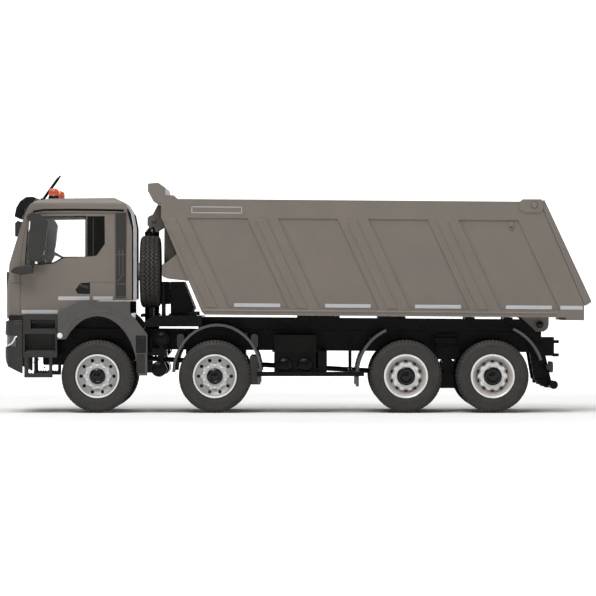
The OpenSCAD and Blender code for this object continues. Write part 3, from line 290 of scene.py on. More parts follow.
def rounded(a0, a1, b0, b1, r, steps=4):
    # Corners: centre + r * (cos t, sin t) over a quarter turn each
    t = np.linspace(0, math.pi / 2, steps + 1)
    centres = [(a1 - r, b1 - r, 0), (a0 + r, b1 - r, 1), (a0 + r, b0 + r, 2), (a1 - r, b0 + r, 3)]
    return np.concatenate([np.stack([a + r * np.cos(t + k * math.pi / 2), b + r * np.sin(t + k * math.pi / 2)], 1)
                           for a, b, k in centres])


def turned(profile, centre, axis="y", side=1, steps=48):
    # (radius, distance along the axis) spun about the axis, the profile closed on itself
    profile = np.asarray(profile, float)
    t = np.linspace(0, 2 * math.pi, steps, endpoint=False)[:, None]
    points = np.zeros((steps, len(profile), 3))
    main, a, b = axes[axis]
    points[..., main] = centre[main] + side * profile[None, :, 1]
    points[..., a] = centre[a] + profile[None, :, 0] * np.cos(t)
    points[..., b] = centre[b] + profile[None, :, 0] * np.sin(t)
    return points.reshape(-1, 3), gridFaces(steps, len(profile), True).tolist()


def rod(start, end, radius, sides=14):
    return tube([start, end], radius, sides)


def tube(path, radius, sides=10):
    # Circle of the given radius carried along the path, square to it
    path = np.asarray(path, float)
    run = np.gradient(path, axis=0)
    run /= np.linalg.norm(run, axis=1, keepdims=True)
    across = np.cross(run, [0.0, 0.0, 1.0])
    flat = np.linalg.norm(across, axis=1) < 0.2
    across[flat] = np.cross(run[flat], [0.0, 1.0, 0.0])
    across /= np.linalg.norm(across, axis=1, keepdims=True)
    upward = np.cross(across, run)
    t = np.linspace(0, 2 * math.pi, sides, endpoint=False)
    spokes = across[:, None, :] * np.cos(t)[None, :, None] + upward[:, None, :] * np.sin(t)[None, :, None]
    return loft(path[:, None, :] + radius * spokes)


def smoothPath(points, count=24):
    # Even steps along the broken line, then each point averaged with its neighbours
    points = np.asarray(points, float)
    run = np.concatenate([[0], np.cumsum(np.linalg.norm(np.diff(points, axis=0), axis=1))])
    even = np.linspace(0, run[-1], count)
    line = np.stack([np.interp(even, run, points[:, k]) for k in range(3)], 1)
    for _ in range(3):
        line[1:-1] = (line[:-2] + 2 * line[1:-1] + line[2:]) / 4
    return line


def ribbon(points, width, y0, y1):
    # Flat band along a line in (x, z), its thickness from y0 to y1
    points = np.asarray(points, float)
    run = np.gradient(points, axis=0)
    run /= np.linalg.norm(run, axis=1, keepdims=True)
    square = np.stack([-run[:, 1], run[:, 0]], 1) * width / 2
    left, right = points + square, points - square
    rings = np.zeros((len(points), 4, 3))
    for k, (edge, y) in enumerate([(left, y0), (right, y0), (right, y1), (left, y1)]):
        rings[:, k, 0], rings[:, k, 2], rings[:, k, 1] = edge[:, 0], edge[:, 1], y
    return loft(rings)


def mirrored(parts):
    # The same pieces on the other side
    flip = np.array([1.0, -1.0, 1.0])
    return parts + [(points * flip, faces) for points, faces in parts]


def raked(parts):
    # (x, z) turned about the tilt pin by the frame's nose-up angle
    c, s = math.cos(rakeAngle), math.sin(rakeAngle)
    out = []
    for points, faces in parts:
        x, z = points[:, 0] - tiltPin[0], points[:, 2] - tiltPin[2]
        moved = np.stack([tiltPin[0] + x * c - z * s, points[:, 1], tiltPin[2] + x * s + z * c], 1)
        out.append((moved, faces))
    return out


def piece(name, finish, body, parts, edge=0.0, smooth=38):
    thing = place(makeMesh(name, parts), name, finish, body, smooth)
    if edge:
        soften(thing, edge)
    return thing


def soften(thing, width):
    bevel = thing.modifiers.new("edges", "BEVEL")
    bevel.width = width * mm
    bevel.segments = 2
    bevel.limit_method = "ANGLE"
    bevel.angle_limit = math.radians(30)
    bevel.use_clamp_overlap = True
    bevel.harden_normals = True


# Castings and mouldings from the frame, with their edges rounded as tooled

castings = {
    "body": {"cab_shell": 0.3, "tipper_bed": 0.12, "tailgate": 0.18, "ram_head_bracket": 0.1},
    "frame": {"chassis_frame": 0.12, "tipper_subframe": 0.12, "service_deck": 0.15, "ram_mount": 0.15,
              "engine_gearbox": 0.5, "propshafts": 0.1, "front_axles": 0.12, "rear_axles": 0.12,
              "bogie_springs": 0.12, "air_tanks": 0.12, "battery_box": 0.15, "fuel_tank": 0.12, "side_bars": 0.1,
              "tow_coupling": 0.1, "underride_guard": 0.12, "spare_wheel_carrier": 0.1, "ram_barrel": 0.06},
    "plastic": {"front_bumper": 0.25, "entry_steps": 0.15, "mirrors": 0.3, "front_grille": 0.08,
                "side_air_panels": 0.05, "tail_lights": 0.12},
    "guard": {"cab_fenders": 0.15, "mudguards": 0.1},
    "shiny": {"sun_visor": 0.25, "roof_antenna": 0.05},
    "trim": {"cab_interior": 0.3, "steering_wheel": 0.0},
    "pane": {"cab_windows": 0.0},
    "smoked": {"headlights": 0.15},
    "disc": {"rim_1_left": 0.05, "rim_1_right": 0.05, "rim_2_left": 0.05, "rim_2_right": 0.05, "spare_rim": 0.05},
    "dish": {"rear_rims_1": 0.05, "rear_rims_2": 0.05},
    "chrome": {"ram_stage_1": 0.0, "ram_stage_2": 0.0, "ram_rod": 0.05},
    "steel": {"track_rod_1": 0.05, "track_rod_2": 0.05, "knuckle_1_left": 0.06, "knuckle_1_right": 0.06,
              "knuckle_2_left": 0.06, "knuckle_2_right": 0.06},
}


def softCopy(node, finish, width):
    mesh = frame["nodes"][node].data.copy()
    work = bmesh.new()
    work.from_mesh(mesh)
    bmesh.ops.remove_doubles(work, verts=work.verts, dist=1e-6)
    bmesh.ops.dissolve_limit(work, angle_limit=math.radians(0.6), verts=work.verts, edges=work.edges)
    work.to_mesh(mesh)
    work.free()
    thing = place(mesh, node + "_skin", finish, bodyOf[node])
    if width:
        soften(thing, width)
    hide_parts(node)


for finish, members in castings.items():
    for node, width in members.items():
        softCopy(node, finish, width)
for node, thing in frame["nodes"].items():
    thing.data.materials.clear()
    thing.data.materials.append(material["tyre"])
print("castings", sum(len(members) for members in castings.values()))

# Tyres

tyreLook = {"around": 300, "grooves": 0.45, "slot": 0.32, "blocks": 60, "waves": 50, "swing": 0.36}
tyreHalf = 3.2
# Section from the inner bead over the tread to the outer bead: (radius, offset), with both sidewall rings
tyreSection = [(6.72, -2.5), (7.2, -3.05), (7.7, -3.14), (8.3, -3.18), (8.42, -3.1), (9.3, -3.16), (9.6, -3.12),
               (9.68, -3.19), (10.1, -3.08), (10.5, -2.95), (10.75, -2.75)]


def tyreParts(centre, axis, side):
    rim = np.array(tyreSection)
    flank = np.stack([np.linspace(10.85, 11.2, 4), np.linspace(-2.68, -2.3, 4)], 1)
    tread = np.stack([np.full(33, 11.2), np.linspace(-2.22, 2.22, 33)], 1)
    half = np.concatenate([rim, flank])
    section = np.concatenate([half, tread, half[::-1] * [1, -1], [[6.72, 1.2], [6.72, -1.2]]])
    section[:, 0] *= np.where(section[:, 0] > 11.1, tyreRadius / 11.2, 1)
    u = np.linspace(0, 1, tyreLook["around"], endpoint=False)[:, None]
    radius, offset = section[:, 0][None, :], section[:, 1][None, :]
    wave = np.abs(((u * tyreLook["waves"]) % 1) - 0.5) * 4 - 1
    cut = np.zeros((len(u), len(section)))
    for middleOfGroove in (-1.35, 0.0, 1.35):
        cut = np.maximum(cut, np.clip(1.6 - np.abs(offset - middleOfGroove - tyreLook["swing"] * wave) / 0.16, 0, 1))
    cut *= radius > 11.0
    stagger = np.where(offset > 0, 0.5, 0.0)
    slots = ((u * tyreLook["blocks"] + stagger) % 1) < 0.3
    shoulder = (np.abs(offset) > 1.85) & (radius > 10.4)
    depth = np.maximum(cut * tyreLook["grooves"], slots * shoulder * tyreLook["slot"])
    t = 2 * math.pi * u
    r = radius - depth
    points = np.zeros((len(u), len(section), 3))
    main, a, b = axes[axis]
    points[..., main] = centre[main] + side * offset
    points[..., a] = centre[a] + r * np.cos(t)
    points[..., b] = centre[b] + r * np.sin(t)
    return points.reshape(-1, 3), gridFaces(len(u), len(section), True).tolist()


def tyreCentres(node):
    low, high = corners(node)
    mid = (low + high) / 2
    if not node.startswith("rear"):
        return [(mid, 1 if mid[1] > 0 else -1)]
    pitch = 7.2
    outer = high[1] - tyreHalf
    return [(np.array([mid[0], s * y, mid[2]]), s) for s in (1, -1) for y in (outer, outer - pitch)]


for node in [name for name in frame["nodes"] if "tyre" in name]:
    axis = "x" if node == "spare_tyre" else "y"
    made = piece(node + "_tread", "tyre", bodyOf[node], [tyreParts(c, axis, s) for c, s in tyreCentres(node)],
                 smooth=30)
    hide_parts(node)
print("tyres")

# Wheels

wheelLook = {"nuts": 10, "nutRing": 3.45}


def nutRing(centre, side, ring, radius, low, high, turn=0.0, sides=6):
    parts = []
    for k in range(wheelLook["nuts"]):
        t = 2 * math.pi * (k + turn) / wheelLook["nuts"]
        x, z = centre[0] + ring * math.cos(t), centre[2] + ring * math.sin(t)
        y = centre[1]
        parts.append(tube([(x, y + side * low, z), (x, y + side * high, z)], radius, sides))
    return parts


def scallop(centre, side, ring, swing, low, high, steps=120):
    # Radius = ring + swing * cos(10 t), flattened at the crests
    t = np.linspace(0, 2 * math.pi, steps, endpoint=False)
    r = ring + swing * np.clip(1.5 * np.cos(wheelLook["nuts"] * t), -1, 1)
    outline = np.stack([centre[0] + r * np.cos(t), centre[2] + r * np.sin(t)], 1)
    return prism(outline, "y", centre[1] + side * low, centre[1] + side * high)


lipProfile = [(6.1, 2.35), (6.15, 2.95), (6.45, 3.2), (6.72, 3.2), (6.84, 3.0), (6.84, 2.7), (6.4, 2.6)]
capProfile = [(0, 2.9), (2.5, 2.9), (2.5, 3.15), (2.3, 3.3), (1.7, 3.42), (1.5, 3.3), (1.0, 3.3),
              (0.8, 3.42), (0, 3.45)]
for axle in (1, 2):
    for label, side in (("left", 1), ("right", -1)):
        wheel = f"wheel_{axle}_{label}"
        hub = middle(f"tyre_{axle}_{label}")
        piece(f"{wheel}_lip", "bright", wheel, [turned(lipProfile, hub, "y", side, 64)])
        piece(f"{wheel}_cap", "shiny", wheel, [turned(capProfile, hub, "y", side, 40)]
              + nutRing(hub, side, 1.95, 0.2, 3.2, 3.42, 0.25, 8)[::3])
        piece(f"{wheel}_flange", "silver", wheel, [scallop(hub, side, 4.05, 0.22, 2.2, 2.5)], 0.05)
        piece(f"{wheel}_nuts", "bright", wheel, nutRing(hub, side, wheelLook["nutRing"], 0.36, 2.4, 2.95, 0.5), 0.04)

deepLip = [(6.1, 2.3), (6.15, 2.95), (6.5, 3.2), (6.72, 3.2), (6.86, 3.0), (6.86, 2.6), (6.4, 2.45)]
deepCap = [(0, 2.6), (2.86, 2.6), (2.86, 2.9), (2.65, 3.05), (1.9, 3.12), (1.6, 3.0), (1.2, 3.0),
           (1.0, 3.12), (0, 3.15)]
for axle in (1, 2):
    low, high = corners(f"rear_tyres_{axle}")
    for label, side in (("left", 1), ("right", -1)):
        wheel = f"rear_wheels_{axle}"
        hub = np.array([(low[0] + high[0]) / 2, side * (high[1] - tyreHalf), tyreRadius])
        tag = f"{wheel}_{label}"
        piece(f"{tag}_lip", "bright", wheel, [turned(deepLip, hub, "y", side, 64)])
        piece(f"{tag}_flange", "bright", wheel, [scallop(hub, side, 4.15, 0.32, 0.5, 1.35)], 0.06)
        piece(f"{tag}_nuts", "bright", wheel, nutRing(hub, side, 3.55, 0.34, 1.2, 1.9), 0.04)
        # Black discs set in the wheel holes: painted shade for the dark seen through them
        piece(f"{tag}_holes", "shiny", wheel, nutRing(hub, side, 4.75, 0.55, -0.5, 0.02, 0.5, 16))
        piece(f"{tag}_cap", "shiny", wheel, [turned(deepCap, hub, "y", side, 40)])
print("wheels")

# Cab


def cabFace(z):
    # The cab's side stands upright to the waist, then leans in 0.6 mm by the roof's edge
    return cabSide - 0.6 * np.clip((np.asarray(z, float) - 46) / 18, 0, 1)


def leaned(parts):
    # Follows the lean of the cab's side above the waist
    return [(points - np.stack([0 * points[:, 0], cabSide - cabFace(points[:, 2]), 0 * points[:, 0]], 1), faces)
            for points, faces in parts]


def onCab(outline, low, high):
    # Outline given as (back from the bumper, height), standing out from the cab's side
    outline = np.array([(front - b, z) for b, z in outline])
    return prism(outline, "y", cabSide + low, cabSide + high)


def lineOnCab(points, width, low=-0.05, high=0.03):
    return ribbon([(front - b, z) for b, z in points], width, cabSide + low, cabSide + high)


gapLines = [
    [(34.2, 61.6), (34.2, 55), (34.2, 45), (34.2, 34.9)],
    [(4.8, 44.5), (4.75, 40), (4.7, 35), (4.7, 30.6)],
    [(1.4, 40.1), (3, 40.1), (4.7, 40.1)],
    [(26.6, 40.35), (30, 40.35), (34.2, 40.35)],
    [(34.2, 61.6), (28, 61.75), (20, 61.75), (10, 61.6), (6.9, 60.6), (5.9, 55), (4.9, 48), (4.8, 44.5)],
]
piece("cab_gap_lines", "groove", "chassis", mirrored(leaned([lineOnCab(line, 0.14) for line in gapLines])))

gutter = [(8.6, 62.2), (12, 62.75), (20, 62.85), (30, 62.75), (36.9, 62.6)]
piece("cab_gutter_shadow", "shiny", "chassis", mirrored(leaned([lineOnCab(gutter, 0.75, -0.3, 0.04)])))
piece("cab_gutter_lip", "body", "chassis",
      mirrored(leaned([lineOnCab([(b, z - 0.5) for b, z in gutter], 0.35, -0.2, 0.3)])), 0.08)

handle = {"bowl": [(21.9, 38.1), (22.5, 36.8), (26.4, 36.7), (26.4, 40.3), (23.6, 40.1)],
          "pull": [(22.6, 39.2), (25.9, 38.2), (25.9, 39.1), (23.2, 39.9)]}
piece("door_handle_bowls", "shiny", "chassis", mirrored([onCab(handle["bowl"], -0.05, 0.03)]))
piece("door_handle_pulls", "plastic", "chassis", mirrored([onCab(handle["pull"], -0.02, 0.32)]), 0.1)

bands = [(16.54, 26.2, 34.8, 35.95), (27.35, 33.4, 34.8, 35.95), (5.15, 16.35, 30.62, 31.75)]
piece("cab_printed_bands", "ink", "chassis",
      mirrored([onCab([(a, c), (b, c), (b, d), (a, d)], 0.0, 0.035) for a, b, c, d in bands]))

# Rubber round the door glass, and the black blanking panel behind it
doorGlass = np.array([(6.5, 46.1), (7.5, 60.4), (24.9, 60.7), (24.9, 48.3), (18.2, 48.3), (15.1, 46.6), (11.6, 46.1)])


def ringOn(outline, grow, low, high):
    # Frame between an outline and the same outline grown from its middle
    outline = np.asarray(outline, float)
    mid = outline.mean(0)
    away = outline - mid
    bigger = mid + away * (1 + grow / np.linalg.norm(away, axis=1, keepdims=True))
    rings = np.zeros((len(outline), 4, 3))
    for k, (edge, y) in enumerate([(outline, low), (bigger, low), (bigger, high), (outline, high)]):
        rings[:, k, 0], rings[:, k, 2], rings[:, k, 1] = front - edge[:, 0], edge[:, 1], cabSide + y
    return rings.reshape(-1, 3), gridFaces(len(outline), 4, True).tolist()


piece("door_glass_seals", "shiny", "chassis", mirrored(leaned([ringOn(doorGlass, 0.42, -0.2, 0.05)])))
quarter = [(25.5, 60.9), (30.9, 60.9), (31, 52.3), (28.4, 48.6), (25.5, 48.3)]
piece("quarter_blanks", "shiny", "chassis", mirrored(leaned([onCab(quarter, -0.35, 0.06)])), 0.04)
piece("quarter_seams", "plastic", "chassis",
      mirrored(leaned([lineOnCab([(27.4, 60.5), (27.4, 55), (27.4, 48.7)], 0.25, 0, 0.12)])))

# Intake panel behind the door: framed, with pairs of upright louvres between cross bars
louvres = [(61.4, 58.4), (57.6, 54.4), (53.4, 49.4)]
panelParts = [onCab([(34.6, z0), (37.5, z0), (37.5, z0 + 0.35), (34.6, z0 + 0.35)], -0.1, 0.32)
              for z0 in (61.7, 57.9, 53.7, 48.8, 39.6, 35.6)]
panelParts += [onCab([(b, z1), (b + 0.45, z1), (b + 0.45, z0), (b, z0)], -0.1, 0.3)
               for z0, z1 in louvres for b in (35.2, 36.3)]
panelParts += [onCab([(b, 48.8), (b + 0.25, 48.8), (b + 0.25, 42.5), (b, 42.5)], -0.1, 0.3) for b in (35.4, 36.5)]
panelParts.append(lineOnCab([(34.8, 40.3), (36.2, 42), (36.8, 43.2)], 0.3, -0.1, 0.3))
piece("air_panel_louvres", "guard", "chassis", mirrored(leaned(panelParts)), 0.06)
slots = [onCab([(34.9, z1), (37.3, z1), (37.3, z0), (34.9, z0)], -0.1, 0.2) for z0, z1 in louvres]
piece("air_panel_slots", "shiny", "chassis", mirrored(leaned(slots)))
# Black tray under the cab floor, over the engine and wheels
piece("underbody_tray", "frame", "chassis", [brick(front - 39, front - 8, -19.5, 19.5, 28.6, 30.7)], 0.2)
rearEdge = [(39.3, 35), (39.95, 35), (39.9, 57.5), (39.1, 61.8), (38.0, 63.2), (37.8, 62.9), (39.2, 57.6)]
piece("cab_rear_edges", "shiny", "chassis", mirrored([onCab(rearEdge, -3.2, -0.35)]), 0.1)

# Sleeve that thickens the aerial toward its foot
aerialLow, aerialHigh = corners("roof_antenna")
aerialFoot = np.array([aerialHigh[0] - 1.1, 0, aerialLow[2] + 0.8])
aerialTip = np.array([aerialLow[0] + 0.9, 0, aerialHigh[2] - 1.0])
piece("antenna_sleeve", "shiny", "chassis", [rod(aerialFoot, aerialTip, 0.46, 12)], 0.1)
piece("bumper_top_seal", "shiny", "chassis", [brick(front - 18, front - 1.1, -22.6, 22.6, 27.4, 30.2)], 0.2)

# Cowl band under the windscreen, and the wipers on it
nose = lambda z: front - np.interp(z, [30.3, 37.7, 41.7, 46, 61.8], [0.2, 0.4, 0.9, 1.2, 6.2])
cowl = [(nose(43.9) + 0.12, 43.9), (nose(46.7) + 0.12, 46.7), (nose(46.7) - 0.8, 46.7), (nose(43.9) - 0.8, 43.9)]
piece("cowl_band", "shiny", "chassis", [prism(cowl, "y", -17.6, 17.6)], 0.1)
wipers = []
for y in (-9.0, 7.0):
    arm = [(nose(45.6) + 0.25, y - 6.5, 45.4), (nose(48) + 0.45, y, 47.8), (nose(49.4) + 0.4, y + 4, 49.3)]
    wipers.append(tube(arm, 0.16))
    wipers.append(tube([(nose(48.2) + 0.3, y - 2.5, 48.1), (nose(50) + 0.3, y + 9.5, 49.9)], 0.14))
    wipers.append(rod((nose(45.2) - 0.2, y - 6.5, 45.3), (nose(45.2) + 0.4, y - 6.5, 45.3), 0.35))
piece("wipers", "shiny", "chassis", wipers)

# Mirror glasses face rearward, each in its own pocket
mirrorSide = corners("mirrors")[1][1]
glassOutline = [(front - 12.0, 48.9), (front - 12.45, 48.9), (front - 12.05, 56.6), (front - 11.6, 56.6)]
glassParts = [prism(glassOutline, "y", mirrorSide - 3.2, mirrorSide - 0.5)]
piece("mirror_glasses", "chrome", "chassis", mirrored(glassParts), 0.05)

# Beacons: black saucers, each with a fluted dome
beaconLow, beaconHigh = corners("beacons")
beaconAt = np.array([(beaconLow[0] + beaconHigh[0]) / 2, beaconHigh[1] - 1.75, 0])
saucer = [(0, 66.2), (1.75, 66.2), (1.78, 66.8), (1.62, 67.3), (0, 67.35)]
domeProfile = [(0, 67.3), (1.55, 67.3), (1.62, 67.6), (1.6, 68.6), (1.4, 69.25), (0.9, 69.6), (0, 69.68)]


def fluted(centre):
    points, faces = turned(domeProfile, centre, "z", 1, 60)
    around = np.arctan2(points[:, 1] - centre[1], points[:, 0] - centre[0])
    swell = 1 - 0.035 * (1 + np.cos(12 * around))
    points[:, 0] = centre[0] + (points[:, 0] - centre[0]) * swell
    points[:, 1] = centre[1] + (points[:, 1] - centre[1]) * swell
    return points, faces


bases = piece("beacon_saucers", "shiny", "chassis", mirrored([turned(saucer, beaconAt, "z", 1, 40)]))
# The domes' faint glow is painted light
piece("beacon_domes", "amber", "chassis", mirrored([fluted(beaconAt)]))
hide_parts("beacons")

# Interior: a lining on the back wall and the instrument binnacle
interiorBack = corners("cab_interior")[0][0]
binnacle = [(front - 12.4, 44.8), (front - 9.6, 45.1), (front - 9.4, 47.8), (front - 11.6, 47.6)]
trimParts = [brick(interiorBack + 0.3, interiorBack + 1.2, -17, 17, 44, 61), prism(binnacle, "y", 5.5, 14.5)]
piece("cab_back_trim", "trim", "chassis", trimParts, 0.3)
print("cab")

# Front corner: lamps, bumper, steps, fender

piece("side_markers", "bright", "chassis",
      mirrored([turned([(0, -0.3), (0.85, -0.3), (0.85, 0.05), (0.7, 0.22), (0.5, 0.3), (0, 0.3)],
                       np.array([front - 17.16, fenderSide, 23.8]), "y", 1, 28)]))
crease = [[(17.6, 26.4), (21.2, 30.4), (25.3, 32.6), (29.7, 33.2), (34.2, 31.9), (38.4, 28.9)],
          [(19.3, 25.0), (21.9, 28.7), (25.9, 30.7), (29.7, 31.4), (33.0, 30.8), (37.2, 28.7)]]
creaseParts = []
for line in crease:
    path = smoothPath([(front - b, fenderSide - 0.02, z) for b, z in line], 40)
    creaseParts.append(tube(path, 0.14, 8))
piece("fender_creases", "guard", "chassis", mirrored(creaseParts))
seamLine = [(16.8, 28.6), (17.6, 30.4), (21, 33.2), (25, 34.5), (28, 34.75)]
seam = smoothPath([(front - b, 0, z) for b, z in seamLine], 24)
piece("fender_seam", "groove", "chassis", mirrored([ribbon(seam[:, [0, 2]], 0.22, cabSide - 0.2, fenderSide + 0.03)]))

hinge = [brick(front - 43.9, front - 40.7, fenderSide - 0.3, fenderSide + 0.1, 18.4, 23.9),
         brick(front - 43.3, front - 41.2, fenderSide, fenderSide + 0.3, 19.2, 20.6),
         brick(front - 43.3, front - 41.2, fenderSide, fenderSide + 0.3, 21.6, 23.3)]
piece("arch_latches", "shiny", "chassis", mirrored(hinge), 0.12)
flap = [brick(front - 43.6, front - 40.9, fenderSide - 0.2, fenderSide + 0.08, 12.2, 18.2)]
piece("arch_rear_flaps", "plastic", "chassis", mirrored(flap), 0.15)

lampFront = corners("headlights")[1][0]
drl = [(3.9, 23.5), (3.3, 23.4), (3.0, 22.4), (2.2, 21.3), (1.0, 20.7)]


def bumperFace(b):
    # The bumper's corner is a quarter round of 4 mm
    away = np.clip(4 - np.asarray(b, float), 0, 4)
    return bedSide - 0.2 - 4 + np.sqrt(np.clip(16 - away * away, 0, 16))


drlPath = smoothPath([(front - b, float(bumperFace(b)) - 0.05, z) for b, z in drl], 24)
piece("daytime_lamps", "bright", "chassis", mirrored([tube(drlPath, 0.26, 10)]))
bowls = [turned([(0, -0.8), (1.25, -0.8), (1.35, 0.1), (1.15, 0.1), (0.8, -0.4), (0, -0.5)],
                np.array([lampFront - 0.15, y, 22.1]), "x", 1, 32) for y in (16.9, 20.0)]
piece("lamp_bowls", "chrome", "chassis", mirrored(bowls))
fogs = [turned([(0, -0.9), (1.15, -0.9), (1.15, 0.15), (0.9, 0.2), (0.7, -0.05), (0, 0.0)],
               np.array([front - 0.35, 19.6, 16.4]), "x", 1, 32)]
piece("fog_lamps", "lens", "chassis", mirrored(fogs))
bumperLines = [ribbon([(front - 5.5, z), (front - 4.2, z), (front - 3.1, z + 0.05)], 0.22,
                      bedSide - 0.5, bedSide - 0.12) for z in (16.6, 27.5)]
piece("bumper_creases", "groove", "chassis", mirrored(bumperLines))
intake = [brick(front - 0.4, front + 0.0, -12, 12, 18.4 + 1.7 * k, 19.2 + 1.7 * k) for k in range(4)]
intake.append(brick(front - 0.5, front - 0.05, -13, -12, 17.6, 25.4))
intake.append(brick(front - 0.5, front - 0.05, 12, 13, 17.6, 25.4))
piece("bumper_louvres", "shiny", "chassis", intake, 0.08)

stepLow, stepHigh = corners("entry_steps")
treads = []
for b0, b1, z in ((8.0, 16.2, 25.5), (6.6, 15.6, 18.75)):
    treads.append(brick(front - b1, front - b0, stepHigh[1] - 3, stepHigh[1] + 0.0, z - 0.1, z + 0.42))
    treads += [brick(front - b1 + 0.3 + 0.75 * k, front - b1 + 0.65 + 0.75 * k, stepHigh[1] - 2.6, stepHigh[1] + 0.04,
                     z + 0.3, z + 0.62) for k in range(int((b1 - b0 - 0.6) / 0.75))]
treads += [brick(stepLow[0] + 2.2 + 0.8 * k, stepLow[0] + 2.6 + 0.8 * k, stepHigh[1] - 2.4, stepHigh[1] - 0.3,
                 11.9, 12.25) for k in range(9)]
piece("step_treads", "plastic", "chassis", mirrored(treads), 0.05)
hangers = [rod((front - b, stepHigh[1] - 0.9, z), (front - b, stepHigh[1] - 0.05, z), 0.26) for b, z in
           ((7.2, 13.4), (9.4, 13.1), (7.4, 15.6), (9.2, 15.5), (14.7, 14.6))]
piece("step_bolts", "steel", "chassis", mirrored(hangers))
print("front corner")

# Behind the cab

tankHigh = corners("air_tanks")[1]
hoses = []
for points in ([(2.6, 19.2), (3.2, 17.4), (5.2, 16.6), (6.2, 14.6)],
               [(6.4, 20.6), (6.9, 18.4), (5.6, 17.1), (4.6, 15.3)],
               [(2.2, 23.4), (1.6, 21.2), (2.6, 18.6)]):
    path = smoothPath([(tankHigh[0] + 2.0 - b, tankHigh[1] - 0.6, z) for b, z in points], 20)
    hoses.append(tube(path, 0.22, 8))
piece("air_hoses", "frame", "chassis", mirrored(hoses))
bands = [turned([(r + 0.02, -0.25), (r + 0.16, -0.25), (r + 0.16, 0.25), (r + 0.02, 0.25)],
                np.array([x, tankHigh[1] - 1.8, z]), "y", 1, 36)
         for x, z, r in ((tankHigh[0] - 3.3, 22.9, 1.9), (tankHigh[0] - 2.3, 13.4, 2.3))]
piece("tank_bands", "shiny", "chassis", mirrored(bands))
deckTop = corners("service_deck")[1][2]
fittingProfile = [(0, -0.2), (0.8, -0.2), (0.8, 0.5), (0.5, 0.9), (0, 0.95)]
fittings = []
for x, y in ((39.5, 21.5), (37.2, 16.0), (48.2, 20.0), (44.5, -12.0), (39.5, -20.5)):
    fittings.append(turned(fittingProfile, np.array([x, y, deckTop - 0.25]), "z", 1, 16))
for y in (19.5, -19.5):
    fittings.append(brick(31.5, 34.2, y - 1.6, y + 1.6, deckTop - 0.3, deckTop + 1.2))
piece("deck_fittings", "frame", "chassis", fittings, 0.15)
spareMid = middle("spare_tyre")
hook = smoothPath([(spareMid[0] + 0.4, spareMid[1], spareMid[2] + 11.2), (spareMid[0] + 0.6, spareMid[1], 57.2),
                   (spareMid[0] - 0.9, spareMid[1], 57.6), (spareMid[0] - 1.1, spareMid[1], 55.6)], 16)
# Oil tank behind the spare wheel, in two halves either side of the ram
oilTank = rounded(40.2, 43.5, 33.5, 40.6, 0.6)
piece("oil_tank_halves", "frame", "chassis", mirrored([prism(oilTank, "y", 3.5, 9.0)]), 0.1)
piece("spare_wheel_hook", "shiny", "chassis", [tube(hook, 0.42, 10)])
piece("spare_wheel_nuts", "bright", "chassis",
      [tube([(spareMid[0] + 2.4, spareMid[1] + 3.5 * math.cos(t), spareMid[2] + 3.5 * math.sin(t)),
             (spareMid[0] + 3.3, spareMid[1] + 3.5 * math.cos(t), spareMid[2] + 3.5 * math.sin(t))], 0.34, 6)
       for t in np.linspace(0, 2 * math.pi, 10, endpoint=False)])
print("behind the cab")

# Bed

ribLook = {"slope": 0.475, "top": 59.3, "foot": 31.75, "heads": (34.6, 6.6, -21.4, -49.4),
           "folds": (3.5, 6.9), "proud": 0.28}


def onBed(outline, low, high):
    return prism(outline, "y", bedSide + low, bedSide + high)


folds = []
top, foot = ribLook["top"], ribLook["foot"]
drop = ribLook["slope"] * (top - foot)
for head in ribLook["heads"]:
    a, b = head + ribLook["folds"][0], head + ribLook["folds"][1]
    folds.append(onBed([(a, top), (b, top), (b - drop, foot), (a - drop, foot)], -0.1, ribLook["proud"]))
piece("bed_rib_folds", "body", "tipper_bed", mirrored(raked(folds)), 0.24)

sill = [rod((29.6, bedSide - 0.12, 30.75), (-80.2, bedSide - 0.12, 30.75), 0.42, 16),
        rod((-79.5, bedSide - 0.12, 30.75), (-80.5, bedSide - 0.12, 30.75), 0.36, 16)]
piece("bed_sill_beads", "body", "tipper_bed", mirrored(raked(sill)))

printed = [(19.84, 5.58), (-8.34, -22.48), (-36.27, -50.47), (-64.42, -78.65), (-81.3, -88.2)]
# The last strip is on the proud rear post, the others in the bays between the ribs
levels = [(-0.55, -0.465)] * 4 + [(-0.02, 0.035)]
strips = [onBed([(a, 31.95), (b, 31.95), (b, 33.1), (a, 33.1)], *level) for (a, b), level in zip(printed, levels)]
piece("bed_printed_strips", "ink", "tipper_bed", mirrored(raked(strips)))

# Blank maker's frame on the top rail: a thin printed outline with nothing in it
label = {"box": (17.64, 33.29, 60.95, 63.0), "line": 0.22}
x0, x1, z0, z1 = label["box"]
w = label["line"]
outline = [(x0, x1, z0, z0 + w), (x0, x1, z1 - w, z1), (x0, x0 + w, z0, z1), (x1 - w, x1, z0, z1)]
piece("bed_blank_label", "ink", "tipper_bed",
      mirrored(raked([onBed([(a, c), (b, c), (b, d), (a, d)], -0.02, 0.03) for a, b, c, d in outline])))

# Webs that carry the ram's head down to the cross beam, and the beam's rounded nose
web = [(42.35, 58.2), (42.35, 45.4), (36.0, 45.4), (38.2, 50.0)]
piece("ram_head_webs", "body", "tipper_bed", mirrored(raked([prism(web, "y", 2.7, 3.9)])), 0.15)
nosePart = [(40.6, 40.7), (41.9, 41.0), (42.4, 41.8), (42.4, 44.6), (41.9, 45.3), (40.6, 45.5)]
piece("bed_beam_nose", "body", "tipper_bed", mirrored(raked([prism(nosePart, "y", 4.6, bedSide - 1.3)])), 0.15)

